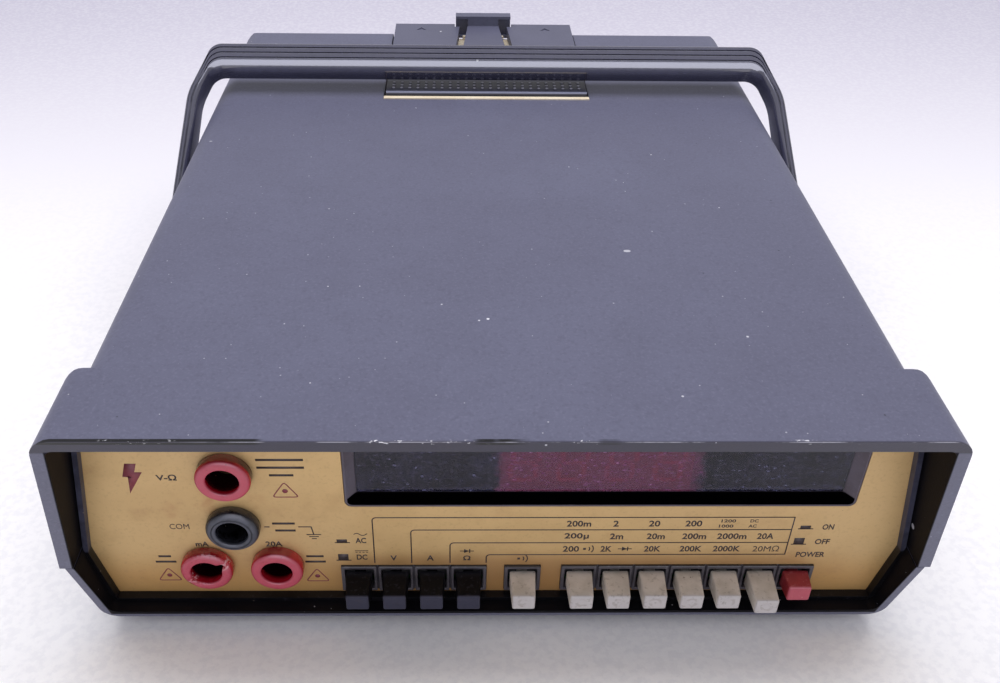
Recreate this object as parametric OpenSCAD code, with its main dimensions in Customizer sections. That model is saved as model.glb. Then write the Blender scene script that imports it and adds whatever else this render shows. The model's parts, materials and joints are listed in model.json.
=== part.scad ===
// Bench digital multimeter with a hooded front panel, a swinging carry handle
// and a battery compartment under a sliding cover at the rear of its top.
// Lengths are millimetres. Dimensions along Y run back from the hood's top front
// edge; placed() then centres the whole instrument on the origin, feet at Z = 0.

/* [Case] */
// Length from the hood's top front edge to the battery latch
overall_depth = 266; // [260:1:280]
// Height of the hood's top face above the feet
case_top = 80.9; // [78:0.1:86]
// Height of the line where the two shells meet
parting_z = 28.5; // [26:0.5:32]
// Height of the underside above the feet
case_bottom = 4; // [3:0.5:6]
// Rear face of the case
case_rear = 262.4; // [258:0.2:266]
// Half width of the hood at its top
hood_half = 107.3; // [100:0.1:112]
// Depth of the hood along its top
hood_depth = 28.2; // [24:0.2:34]
// Half width of the body at its top, behind the hood
body_half = 103.1; // [98:0.1:106]
// Drop of the body's top below the hood's top
body_drop = 0.3; // [0:0.1:1]
// Outward flare of the side walls, millimetres per millimetre of drop
side_flare = 0.1317; // [0.05:0.01:0.16]
// Inward taper of the lower side walls, millimetres per millimetre of drop
lower_taper = 0.188; // [0.1:0.01:0.25]
// Backward lean of the hood's front edge, millimetres per millimetre of drop
front_lean = 0.15; // [0.05:0.01:0.25]
// Shell wall thickness
wall = 3.5; // [2.5:0.1:4]
// Floor thickness of the lower shell
floor_t = 2.4; // [2:0.1:3.5]

/* [Front panel] */
// Front face of the printed panel, behind the hood's top front edge
panel_y = 19.06; // [17:0.1:22]
// Thickness of the printed panel
panel_t = 1.5; // [1:0.1:2.5]
// Width of the dark bar round the printed panel
frame_bar = 2; // [1.5:0.1:3]
// Left edge of the display window
window_left = -40; // [-50:1:-30]
// Right edge of the display window
window_right = 94; // [80:1:96]
// Lower edge of the display window
window_low = 41.8; // [38:0.2:46]
// Upper edge of the display window
window_high = 68; // [64:1:72]
// Width of the bevel round the window
window_bevel = 2.8; // [1.5:0.1:4]
// Depth of the window below the panel's face
window_depth = 2.5; // [1:0.1:5]

/* [Push buttons] */
// Centre distance of neighbouring push buttons
button_pitch = 10; // [9.5:0.1:12]
// Height of the button centres
button_z = 14.15; // [13:0.1:17]
// Travel of a push button
button_travel = 3.5; // [2:0.1:3.6]

/* [Input jacks] */
// Centre distance of neighbouring input jacks
jack_pitch = 19.05; // [18:0.05:20]
// Centre of the left pair of jacks
jack_x = -69.9; // [-75:0.1:-65]
// Height of the lower row of jacks
jack_low_z = 19.3; // [18:0.1:22]
// Radius of a jack's coloured ring
jack_ring_r = 7.1; // [6.5:0.1:8]
// Radius of the recess that a shrouded plug enters
jack_hole_r = 4.25; // [4:0.05:4.5]
// Radius of the metal socket's bore
socket_r = 2; // [1.9:0.05:2.1]

/* [Handle] */
// Distance of the pivot behind the hood's top front edge
pivot_y = 131; // [125:1:140]
// Height of the pivot
pivot_z = 37.2; // [35:0.2:42]
// Angle of the stowed handle above the horizontal
handle_angle = 36.7; // [36.5:0.1:40]
// Distance from the pivot to the inner face of the grip
grip_inner = 82.1; // [81.5:0.1:83]
// Depth of the grip, measured away from the pivot
grip_depth = 10.7; // [9.5:0.1:11]
// Width of the handle's arms at the pivots, across the plane that the handle lies in
handle_w = 13; // [12:0.5:13]
// Width of the grip, across the same plane
grip_w = 9.7; // [8:0.1:10]
// Thickness of the handle's arms
arm_t = 4; // [3:0.1:5]
// Half width of the handle across its pivots
pivot_half = 114.7; // [114.2:0.1:116]
// Inward lean of the arms, millimetres per millimetre of length
arm_lean = 0.04; // [0.03:0.001:0.08]

/* [Battery compartment] */
// Half width of the battery cover
cover_half = 38.4; // [36:0.1:42]
// Front end of the battery cover
cover_front = 192; // [188:0.5:196]
// Rear face of the battery cover
cover_rear = 266.8; // [265.5:0.1:267]
// Top of the battery cover
cover_top = 82.6; // [82:0.1:82.8]
// Radius of a battery cell
cell_r = 13; // [12:0.1:13.1]
// Length of a battery cell
cell_len = 49; // [46:0.5:50]

/* [Hidden] */
$fn = 48;

draft = atan(side_flare);
lower_draft = atan(lower_taper);
body_top = case_top - body_drop;
shell_gap = 0.2;
floor_z = case_bottom + floor_t;
ceiling_z = case_top - wall;
body_ceiling = body_top - wall;
hood_part_half = hood_half + side_flare * (case_top - parting_z);
body_part_half = body_half + side_flare * (body_top - parting_z);
lower_step = 1.4;
lower_wall = 2.35;
lower_rim = 0.6;
hood_edge_r = 5.5;
// The hood's top front edge lies this far behind the plane that depths are counted from
front_edge_y = 2;
body_edge_r = 7;
rear_edge_r = 5;
rear_corner_r = 8;
bottom_edge_r = 5;

// Outline of the printed panel: half width at the parting line, and its two ends
panel_kink_z = 26.4;
panel_kink_half = 109.2;
panel_low_z = 7.8;
panel_low_half = 105.1;
panel_high_z = 76.8;
panel_high_half = panel_kink_half - side_flare * (panel_high_z - panel_kink_z);
panel_tuck = 1.2;

// Push buttons, from left to right: centre, length beyond the frames
left_group_x = -37.65;
continuity_x = 7.3;
range_x = 23;
cap_w = 7.1;
cap_h = 5.5;
cap_front_w = 6.1;
cap_back_y = 18.4;
cap_reach = 8.6;
frame_y = 18.3;
frame_z0 = 8.7;
frame_z1 = 18.6;
frame_rim = 1;
switch_y = 22.9;
switch_len = 30;
switch_half = 4.7;
plunger_half = 1.4;
plunger_end = 40;

// Main board, its pads and screws
board_z = 8;
board_t = 1.6;
board_top = board_z + board_t;
board_left = -86;
board_right = 88;
board_rear = 250;
pad_x = 80;
pad_front_y = 60;
pad_rear_y = 240;

// Display: four digits on their own board
digit_pitch = 12.7;
digit_count = 4;
digits_x = 0.6;
digits_z = 42.6;
digit_h = 19;
digits_y = 25.2;
digits_d = 8;
display_board_y = digits_y + digits_d;

// Packages on the main board: centre X, centre Y, width, length
packages = [[-8, 110, 52, 14], [48, 96, 20, 7], [48, 112, 20, 7], [48, 128, 18, 7], [-52, 132, 18, 7]];

// Capacitors on the main board: centre X, centre Y, radius
cans = [[-30, 145, 5], [-14, 145, 5], [4, 150, 6.3], [70, 150, 4]];

// Input jacks: ring face, and centres
ring_y = 15.5;
nut_t = 3;
// The lower pair of jacks sits a little to the right of the upper two
low_pair_shift = 0.7;
barrel_r = 5.6;
milliamps_x = jack_x + low_pair_shift - jack_pitch / 2;
twenty_amps_x = jack_x + low_pair_shift + jack_pitch / 2;
common_z = 34.9;
volts_z = 53.9;
barrel_end = 36;
socket_y = 22;
socket_len = 20;
socket_out_r = 3.2;
tail_r = 1.5;
volts_tail_y = 47;
common_tail_y = 45;
amps_tail_y = 44;
fuse_r = 3.15;
fuse_y = 40;
fuse_len = 32;

// Battery compartment
tray_half = 38;
tray_front = 192.2;
tray_rear = 258.6;
tray_floor = 21;
tray_t = 1.6;
cover_t = 4.4;
latch_head_half = 12;
latch_head_top = 86.8;
latch_root_y = 222;
latch_root_half = 10.1;
latch_tip_half = 6.75;
slot_root_half = 13;
slot_tip_half = 10.35;
slot_end_y = 262.4;
cell_z = tray_floor + tray_t + cell_r + 0.2;
cell_y = (tray_front + tray_rear) / 2;

// Case screws and feet
boss_x = 94;
boss_front_y = 42;
boss_rear_y = 249;
foot_x = 78;
foot_front_y = 30;
foot_rear_y = 236;
foot_r = 7.5;

// Handle pivot
pivot_hole_r = 4.06;
pivot_shank_r = 4;
screw_head_r = 7;
handle_bend_y = 72;
handle_corner_half = 104;
grip_round_r = 3.7;
groove_w = 0.6;
dot_pitch = 3.1;
dot_r = 0.55;
pivot_disc_r = 11.5;
pivot_boss_x = 110;
pivot_boss_r = 10.5;

// Power inlet
inlet_x = 60;
inlet_z = 40;
inlet_r = 5;
inlet_bore_r = 1.8;

// ---- outlines ----
function unit(v) = v / norm(v);

// Arc of radius r that rounds the corner p between its neighbours a and b
function corner_arc(a, p, b, r, n) =
    let (
        u = unit(a - p),
        v = unit(b - p),
        half_angle = acos(u * v) / 2,
        reach = r / tan(half_angle),
        c = p + unit(u + v) * r / sin(half_angle),
        start = p + u * reach - c,
        finish = p + v * reach - c,
        a0 = atan2(start[1], start[0]),
        a1 = atan2(finish[1], finish[0]),
        turn = a1 - a0 > 180 ? a1 - a0 - 360 : a1 - a0 < -180 ? a1 - a0 + 360 : a1 - a0
    )
    [for (i = [0 : n]) c + r * [cos(a0 + turn * i / n), sin(a0 + turn * i / n)]];

// Closed outline with each corner rounded by its own radius, 0 for a sharp corner
function rounded(pts, radii, n = 6) =
    let (count = len(pts))
    [for (i = [0 : count - 1])
        each (radii[i] > 0
            ? corner_arc(pts[(i + count - 1) % count], pts[i], pts[(i + 1) % count], radii[i], n)
            : [pts[i]])];

// Quarter of an ellipse about c, from angle a0 to a1
function ellipse_arc(c, rx, ry, a0, a1, n = 8) =
    [for (i = [0 : n]) c + [rx * cos(a0 + (a1 - a0) * i / n), ry * sin(a0 + (a1 - a0) * i / n)]];

// Section of the upper shell: flared sides under a flat top, moved in by inset
function upper_outline(half, top, r, inset, low) =
    let (
        z = top - inset,
        h = half + side_flare * inset - inset * sqrt(1 + side_flare * side_flare),
        foot = h + side_flare * (z - low),
        bend = max(r - inset, 1)
    )
    rounded([[-foot, low], [-h, z], [h, z], [foot, low]], [0, bend, bend, 0]);

// Section of the lower shell: tapered sides over a flat bottom, moved in by inset
function lower_outline(half, bottom, r, inset, high) =
    let (
        slant = inset * sqrt(1 + lower_taper * lower_taper),
        h = half - slant + lower_taper * (high - parting_z),
        foot = half - slant - lower_taper * (parting_z - bottom),
        bend = max(r - inset, 1)
    )
    rounded([[-h, high], [h, high], [foot, bottom], [-foot, bottom]], [0, 0, bend, bend]);

// Outline of the printed panel grown by g
function panel_outline(g) = [
    [-panel_high_half - g, panel_high_z],
    [panel_high_half + g, panel_high_z],
    [panel_kink_half + g, panel_kink_z],
    [panel_low_half + g, panel_low_z - g],
    [-panel_low_half - g, panel_low_z - g],
    [-panel_kink_half - g, panel_kink_z]
];

function button_x(i) =
    i < 4 ? left_group_x + button_pitch * i
    : i == 4 ? continuity_x
    : range_x + button_pitch * (i - 5);

// ---- construction helpers ----
module placed() {
    translate([0, -front_edge_y - overall_depth / 2, 0])
        children();
}

module box(lo, hi) {
    translate(lo)
        cube(hi - lo);
}

module xz_prism(pts, y0, y1) {
    translate([0, y1, 0])
        rotate([90, 0, 0])
            linear_extrude(y1 - y0)
                polygon(pts);
}

module yz_prism(pts, x0, x1) {
    translate([x0, 0, 0])
        rotate([90, 0, 90])
            linear_extrude(x1 - x0)
                polygon(pts);
}

module xy_prism(pts, z0, z1) {
    translate([0, 0, z0])
        linear_extrude(z1 - z0)
            polygon(pts);
}

// Cylinder along +Y from y0 to y1
module y_rod(x, z, r, y0, y1) {
    translate([x, y0, z])
        rotate([-90, 0, 0])
            cylinder(h = y1 - y0, r = r);
}

// Cylinder along +X from x0 to x1
module x_rod(y, z, r, x0, x1) {
    translate([x0, y, z])
        rotate([0, 90, 0])
            cylinder(h = x1 - x0, r = r);
}

module z_rod(x, y, r, z0, z1) {
    translate([x, y, z0])
        cylinder(h = z1 - z0, r = r);
}

module both_sides() {
    children();
    mirror([1, 0, 0])
        children();
}

// Removes the sharp edge where a leaning side meets the rear face at y
module edge_cutter(x, y, r, lean, height) {
    both_sides()
        translate([x, y, parting_z])
            rotate([0, lean, 0])
                difference() {
                    translate([-r, -r, -height])
                        cube([r + 5, r + 5, 2 * height]);
                    translate([-r, -r, -height - 1])
                        cylinder(h = 2 * height + 2, r = r);
                }
}

// Everything in front of the hood's leaning front edge
module front_cutter() {
    yz_prism([
        [-30, 100],
        [front_edge_y + (case_top - 100) * front_lean, 100],
        [front_edge_y + (case_top + 20) * front_lean, -20],
        [-30, -20]
    ], -150, 150);
}

module case_screw_places() {
    for (y = [boss_front_y, boss_rear_y])
        for (side = [-1, 1])
            translate([side * boss_x, y, 0])
                children();
}

module board_screw_places() {
    for (y = [pad_front_y, pad_rear_y])
        for (side = [-1, 1])
            translate([side * pad_x, y, 0])
                children();
}

module foot_places() {
    for (y = [foot_front_y, foot_rear_y])
        for (side = [-1, 1])
            translate([side * foot_x, y, 0])
                children();
}

// ---- case ----
module upper_hood() {
    difference() {
        xz_prism(upper_outline(hood_half, case_top, hood_edge_r, 0, parting_z), -2, hood_depth);
        edge_cutter(hood_part_half, hood_depth, 3.5, -draft, 90);
    }
}

module upper_body() {
    difference() {
        intersection() {
            xz_prism(upper_outline(body_half, body_top, body_edge_r, 0, parting_z), 8, case_rear);
            yz_prism(rounded([
                [0, parting_z - 1],
                [0, body_top],
                [case_rear, body_top],
                [case_rear, parting_z - 1]
            ], [0, 0, rear_edge_r, 0]), -130, 130);
        }
        edge_cutter(body_part_half, case_rear, rear_corner_r, -draft, 90);
    }
}

module upper_cavity() {
    xz_prism(upper_outline(hood_half, case_top, hood_edge_r, wall, parting_z - 1), -3, hood_depth - wall);
    xz_prism(upper_outline(body_half, body_top, body_edge_r, wall, parting_z - 1), 10, case_rear - wall);
}

module lower_cavity(high) {
    xz_prism(
        lower_outline(hood_part_half - lower_step, floor_z, bottom_edge_r, lower_wall, high),
        1, hood_depth - wall);
    xz_prism(
        lower_outline(body_part_half - lower_rim, floor_z, bottom_edge_r, lower_wall, high),
        15, case_rear - wall);
}

// Space between the two shells, where the front panel and its frame stand
module free_space() {
    difference() {
        upper_cavity();
        box([-150, -10, 0], [150, 300, parting_z - shell_gap]);
    }
    lower_cavity(parting_z);
}

module upper_shell() {
    color([0.42, 0.42, 0.49])
        placed()
            difference() {
                union() {
                    difference() {
                        union() {
                            upper_hood();
                            upper_body();
                        }
                        upper_cavity();
                    }
                    case_screw_places()
                        z_rod(0, 0, 5, parting_z, body_top - 2);
                    both_sides()
                        difference() {
                            x_rod(pivot_y, pivot_z, pivot_boss_r, 98, pivot_boss_x);
                            box([90, 0, 0], [120, 200, parting_z]);
                        }
                }
                front_cutter();
                // Screw holes in the bosses
                case_screw_places()
                    z_rod(0, 0, 1.6, parting_z - 1, 52);
                // Holes for the handle's pivot screws
                both_sides()
                    x_rod(pivot_y, pivot_z, pivot_shank_r, 97, 120);
                // Opening under the battery cover
                box(
                    [-cover_half - 0.9, cover_front - 2.7, ceiling_z - 5],
                    [cover_half + 0.9, case_rear + 5, case_top + 9]);
                // Hole for the power inlet
                y_rod(inlet_x, inlet_z, inlet_r + 0.05, case_rear - wall - 1, case_rear + 1);
            }
}

module lower_shell() {
    high = parting_z - shell_gap;
    hood_lower_half = hood_part_half - lower_step;
    body_lower_half = body_part_half - lower_rim;
    color([0.36, 0.36, 0.44])
        placed()
            difference() {
                union() {
                    difference() {
                        union() {
                            difference() {
                                xz_prism(
                                    lower_outline(hood_lower_half, case_bottom, bottom_edge_r, 0, high),
                                    2, hood_depth);
                                edge_cutter(hood_lower_half, hood_depth, 3, lower_draft, 60);
                            }
                            difference() {
                                xz_prism(
                                    lower_outline(body_lower_half, case_bottom, bottom_edge_r, 0, high),
                                    20, case_rear - lower_rim);
                                edge_cutter(
                                    body_lower_half, case_rear - lower_rim,
                                    rear_corner_r, lower_draft, 60);
                            }
                        }
                        lower_cavity(high + 1);
                    }
                    case_screw_places()
                        z_rod(0, 0, 5, floor_z - 1, high);
                    // Pads that carry the main board
                    board_screw_places()
                        z_rod(0, 0, 4, floor_z - 1, board_z);
                }
                front_cutter();
                // Screw holes and the wells for their heads
                case_screw_places() {
                    z_rod(0, 0, 2, case_bottom - 1, high + 1);
                    z_rod(0, 0, 3.6, case_bottom - 1, 12);
                }
                board_screw_places()
                    z_rod(0, 0, 1.3, floor_z - 1, board_z + 1);
                // Seats of the rubber feet
                foot_places()
                    z_rod(0, 0, foot_r + 0.1, case_bottom - 1, case_bottom + 0.8);
            }
}

module rubber_feet() {
    color([0.09, 0.09, 0.1])
        placed()
            foot_places()
                rotate_extrude()
                    polygon([
                        [0, 0.6],
                        [2.5, 0.6],
                        [3, 0],
                        [foot_r - 1.4, 0],
                        [foot_r - 0.6, 0.6],
                        [foot_r, case_bottom + 0.8],
                        [0, case_bottom + 0.8]
                    ]);
}

module case_screws() {
    color([0.7, 0.7, 0.72])
        placed()
            case_screw_places() {
                difference() {
                    z_rod(0, 0, 3.3, 9.6, 12);
                    box([-2.2, -0.4, 9], [2.2, 0.4, 10.6]);
                    box([-0.4, -2.2, 9], [0.4, 2.2, 10.6]);
                }
                z_rod(0, 0, 1.55, 12, 46);
            }
}

// ---- front panel ----
module window_hole(g, y0, y1) {
    xz_prism(rounded([
        [window_left - g, window_low - g],
        [window_left - g, window_high + g],
        [window_right + g, window_high + g],
        [window_right + g, window_low - g]
    ], [for (i = [0 : 3]) 1.8 + max(g, -1.3)]), y0, y1);
}

module button_holes(grow, y0, y1) {
    for (span = [[0, 3], [4, 4], [5, 11]])
        box(
            [button_x(span[0]) - button_pitch / 2 - grow, y0, frame_z0 - grow],
            [button_x(span[1]) + button_pitch / 2 + grow, y1, frame_z1 + grow]);
}

module front_panel() {
    color([0.72, 0.6, 0.4])
        placed()
            difference() {
                intersection() {
                    xz_prism(panel_outline(panel_tuck), panel_y, panel_y + panel_t);
                    free_space();
                }
                window_hole(0.15, panel_y - 1, panel_y + 5);
                button_holes(0.1, panel_y - 1, panel_y + 5);
                y_rod(jack_x, volts_z, barrel_r + 0.1, 0, 40);
                y_rod(jack_x, common_z, barrel_r + 0.1, 0, 40);
                y_rod(twenty_amps_x, jack_low_z, barrel_r + 0.1, 0, 40);
                y_rod(milliamps_x, jack_low_z, barrel_r + 0.1, 0, 40);
            }
}

// Dark bar that stands in front of the panel's edge, with a lower step outside it
module panel_frame() {
    bar_y = panel_y - 2.4;
    step_y = panel_y - 1.4;
    color([0.12, 0.12, 0.15])
        placed()
            intersection() {
                difference() {
                    union() {
                        xz_prism(panel_outline(frame_bar), step_y, panel_y);
                        xz_prism(panel_outline(frame_bar * 0.7), bar_y, panel_y);
                    }
                    xz_prism(panel_outline(0), 0, 40);
                }
                free_space();
                box([-120, 0, 0], [120, 40, panel_high_z - 0.5]);
            }
}

module display_bezel() {
    front_y = panel_y - 0.25;
    glass_y = panel_y + window_depth;
    color([0.3, 0.29, 0.33])
        placed()
            difference() {
                union() {
                    window_hole(0, front_y, glass_y + 2);
                    window_hole(2, panel_y + panel_t, glass_y + 2);
                }
                // Bevelled mouth, down to the glass
                hull() {
                    window_hole(-0.5, front_y - 0.1, front_y);
                    window_hole(-window_bevel, glass_y, glass_y + 0.1);
                }
                window_hole(-window_bevel, glass_y, glass_y + 5);
            }
}

module display_window() {
    glass_y = panel_y + window_depth;
    color([0.2, 0.05, 0.08, 0.6])
        placed()
            window_hole(-window_bevel - 0.05, glass_y + 0.1, glass_y + 1.6);
}

module led_digits() {
    color([0.35, 0.06, 0.08])
        placed()
            for (i = [0 : digit_count - 1]) {
                x = digits_x + digit_pitch * i;
                box([x, digits_y, digits_z], [x + digit_pitch - 0.2, digits_y + digits_d, digits_z + digit_h]);
            }
}

module display_board() {
    color([0.1, 0.35, 0.2])
        placed()
            box([-36, display_board_y, 24], [board_right, display_board_y + board_t, 66]);
}

// ---- input jacks ----
// Moulded insulator: ring in front of the panel, barrel through it
module jack_body(x, z) {
    difference() {
        union() {
            translate([x, ring_y, z])
                rotate([-90, 0, 0])
                    rotate_extrude()
                        polygon(concat(
                            [[0, 0]],
                            corner_arc([0, 0], [jack_ring_r, 0], [jack_ring_r, panel_y - ring_y], 1.2, 5),
                            [[jack_ring_r, panel_y - ring_y], [0, panel_y - ring_y]]
                        ));
            y_rod(x, z, barrel_r, panel_y - 0.5, barrel_end);
        }
        y_rod(x, z, jack_hole_r, ring_y - 1, 30);
        y_rod(x, z, socket_out_r, 29, barrel_end + 1);
    }
}

module jack_volts_ohms() {
    color([0.6, 0.1, 0.16])
        placed()
            jack_body(jack_x, volts_z);
}

module jack_common() {
    color([0.1, 0.1, 0.12])
        placed()
            jack_body(jack_x, common_z);
}

module jack_twenty_amps() {
    color([0.6, 0.1, 0.16])
        placed()
            jack_body(twenty_amps_x, jack_low_z);
}

// Metal socket with a tail that its lead is soldered to
module socket_tube(x, z, tail_y) {
    difference() {
        y_rod(x, z, socket_out_r, socket_y, socket_y + socket_len);
        y_rod(x, z, socket_r, socket_y - 1, socket_y + socket_len - 2);
    }
    y_rod(x, z, tail_r, socket_y + socket_len - 1, tail_y);
}

module jack_sockets() {
    color([0.8, 0.72, 0.5])
        placed() {
            socket_tube(jack_x, volts_z, volts_tail_y);
            socket_tube(jack_x, common_z, common_tail_y);
            socket_tube(twenty_amps_x, jack_low_z, amps_tail_y);
        }
}

module jack_nuts() {
    color([0.75, 0.75, 0.77])
        placed()
            for (place = [[jack_x, volts_z], [jack_x, common_z], [twenty_amps_x, jack_low_z]])
                difference() {
                    translate([place[0], panel_y + panel_t, place[1]])
                        rotate([-90, 0, 0])
                            cylinder(h = nut_t, r = 8.4, $fn = 6);
                    y_rod(place[0], place[1], barrel_r, 0, 40);
                }
}

// Jack that is also the carrier of the input fuse: it turns in the fuse holder
module jack_milliamps() {
    notch_w = 1.6;
    carrier_r = 5.2;
    ring_t = panel_y - ring_y - 0.3;
    color([0.6, 0.1, 0.16])
        placed()
            difference() {
                union() {
                    translate([milliamps_x, ring_y, jack_low_z])
                        rotate([-90, 0, 0])
                            rotate_extrude()
                                polygon(concat(
                                    [[0, 0]],
                                    corner_arc([0, 0], [jack_ring_r, 0], [jack_ring_r, ring_t], 1.2, 5),
                                    [[jack_ring_r, ring_t], [0, ring_t]]
                                ));
                    y_rod(milliamps_x, jack_low_z, carrier_r, panel_y - 0.5, fuse_y + 5);
                }
                y_rod(milliamps_x, jack_low_z, jack_hole_r, ring_y - 1, 30);
                y_rod(milliamps_x, jack_low_z, socket_out_r, 29, fuse_y + 6);
                // Slot across the ring that a coin or a blade turns
                translate([milliamps_x, ring_y, jack_low_z])
                    rotate([0, -25, 0])
                        box([-jack_ring_r + 1, -1, -notch_w / 2], [jack_ring_r - 1, 1.4, notch_w / 2]);
            }
}

module milliamps_socket() {
    color([0.8, 0.72, 0.5])
        placed()
            difference() {
                y_rod(milliamps_x, jack_low_z, socket_out_r, socket_y, fuse_y);
                y_rod(milliamps_x, jack_low_z, socket_r, socket_y - 1, fuse_y - 1);
            }
}

module fuse_tube() {
    color([0.85, 0.9, 0.92, 0.4])
        placed()
            difference() {
                y_rod(milliamps_x, jack_low_z, fuse_r - 0.25, fuse_y + 1, fuse_y + fuse_len - 1);
                y_rod(milliamps_x, jack_low_z, fuse_r - 1.1, fuse_y, fuse_y + fuse_len);
            }
}

module fuse_caps() {
    color([0.78, 0.78, 0.8])
        placed() {
            for (front = [true, false]) {
                y = front ? fuse_y : fuse_y + fuse_len - 6;
                open_y = front ? y + 1 : y - 1;
                difference() {
                    y_rod(milliamps_x, jack_low_z, fuse_r, y, y + 6);
                    y_rod(milliamps_x, jack_low_z, fuse_r - 0.25, open_y, open_y + 6);
                }
            }
            // Fuse wire
            y_rod(milliamps_x, jack_low_z, 0.3, fuse_y + 0.5, fuse_y + fuse_len - 0.5);
        }
}

module fuse_holder() {
    rear = fuse_y + fuse_len + 6;
    color([0.1, 0.1, 0.11])
        placed()
            difference() {
                y_rod(milliamps_x, jack_low_z, 7.6, panel_y + panel_t, rear);
                y_rod(milliamps_x, jack_low_z, 5.5, panel_y, rear - 2);
            }
}

// ---- push buttons ----
// Tapered cap and its plunger. The cap reaches reach in front of the frames.
module push_button(i, reach) {
    skin = 0.1;
    front_w = cap_front_w / 2;
    front_h = cap_h * 0.475;
    translate([button_x(i), 0, button_z]) {
        hull() {
            box([-cap_w / 2, cap_back_y - skin, -cap_h / 2], [cap_w / 2, cap_back_y, cap_h / 2]);
            box([-front_w, frame_y - reach, -front_h], [front_w, frame_y - reach + skin, front_h]);
        }
        box([-plunger_half, cap_back_y - 0.5, -plunger_half], [plunger_half, plunger_end, plunger_half]);
    }
}

module dark_button(i) {
    color([0.12, 0.12, 0.16])
        placed()
            push_button(i, cap_reach);
}

module pale_button(i, reach) {
    color([0.66, 0.64, 0.6])
        placed()
            push_button(i, reach);
}

module button_ac_dc() {
    dark_button(0);
}

module button_volts() {
    dark_button(1);
}

module button_amps() {
    dark_button(2);
}

module button_ohms() {
    dark_button(3);
}

module button_continuity() {
    pale_button(4, cap_reach);
}

module button_range_1() {
    pale_button(5, cap_reach);
}

module button_range_2() {
    pale_button(6, cap_reach);
}

module button_range_3() {
    pale_button(7, cap_reach);
}

module button_range_4() {
    pale_button(8, cap_reach);
}

module button_range_5() {
    pale_button(9, cap_reach);
}

module button_range_6() {
    pale_button(10, cap_reach + 1.6);
}

module button_power() {
    color([0.6, 0.16, 0.2])
        placed()
            push_button(11, cap_reach - 2.7);
}

module button_frames() {
    color([0.27, 0.26, 0.29])
        placed()
            difference() {
                button_holes(0, frame_y, panel_y + panel_t + 0.6);
                for (i = [0 : 11])
                    box(
                        [button_x(i) - button_pitch / 2 + frame_rim, 0, frame_z0 + frame_rim],
                        [button_x(i) + button_pitch / 2 - frame_rim, 40, frame_z1 - frame_rim]);
                // Grooves between neighbouring frames
                for (i = [0, 1, 2, 5, 6, 7, 8, 9, 10])
                    box(
                        [button_x(i) + button_pitch / 2 - 0.25, frame_y - 1, frame_z0 - 1],
                        [button_x(i) + button_pitch / 2 + 0.25, frame_y + 0.8, frame_z1 + 1]);
            }
}

module switch_bodies() {
    slot = plunger_half + 0.35;
    color([0.85, 0.85, 0.82])
        placed()
            for (i = [0 : 11])
                difference() {
                    box(
                        [button_x(i) - switch_half, switch_y, board_top],
                        [button_x(i) + switch_half, switch_y + switch_len, button_z + switch_half]);
                    box(
                        [button_x(i) - slot, switch_y - 1, button_z - slot],
                        [button_x(i) + slot, plunger_end + button_travel + 2.5, button_z + slot]);
                }
}

// ---- electronics ----
module main_board() {
    color([0.1, 0.38, 0.2])
        placed()
            difference() {
                box([board_left, switch_y, board_z], [board_right, board_rear, board_top]);
                board_screw_places()
                    z_rod(0, 0, 1.6, board_z - 1, board_top + 1);
            }
}

module board_screws() {
    color([0.75, 0.75, 0.77])
        placed()
            board_screw_places() {
                z_rod(0, 0, 2.6, board_top, board_top + 1.8);
                z_rod(0, 0, 1.25, floor_z, board_top);
            }
}

module integrated_circuits() {
    color([0.08, 0.08, 0.09])
        placed()
            for (p = packages)
                translate([p[0] - p[2] / 2, p[1] - p[3] / 2, board_top])
                    cube([p[2], p[3], 4.2]);
}

module capacitors() {
    color([0.15, 0.2, 0.45])
        placed()
            for (can = cans)
                z_rod(can[0], can[1], can[2], board_top, board_top + 2 * can[2] + 1);
}

module buzzer() {
    x = 72;
    y = 190;
    color([0.07, 0.07, 0.08])
        placed()
            difference() {
                z_rod(x, y, 11.5, board_top, board_top + 9);
                z_rod(x, y, 1.5, board_top + 5, board_top + 10);
            }
}

module current_shunt() {
    x = -60;
    front = 62;
    rear = 84;
    high = board_top + 6;
    color([0.72, 0.5, 0.35])
        placed() {
            z_rod(x, front, 1, board_top, high);
            z_rod(x, rear, 1, board_top, high);
            y_rod(x, high, 1, front - 1, rear + 1);
        }
}

// Short leads from the jacks to the board, and the flat cable of the display
module internal_leads() {
    lead_r = 0.8;
    cable_left = -4;
    cable_right = 34;
    cable_z = 25;
    cable_y = display_board_y + board_t;
    cable_end = 54.2;
    color([0.6, 0.15, 0.12])
        placed() {
            z_rod(jack_x, volts_tail_y - lead_r, lead_r, board_top, volts_z - tail_r);
            z_rod(jack_x, common_tail_y - lead_r - 0.6, lead_r, board_top, common_z - tail_r);
            z_rod(twenty_amps_x, amps_tail_y - lead_r, lead_r, board_top, jack_low_z - tail_r);
            box([cable_left, cable_y, cable_z], [cable_right, cable_y + 0.8, cable_z + 7]);
            box([cable_left, cable_end - 0.8, board_top], [cable_right, cable_end, cable_z + 0.8]);
            box([cable_left, cable_y, cable_z], [cable_right, cable_end, cable_z + 0.8]);
        }
}

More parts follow.
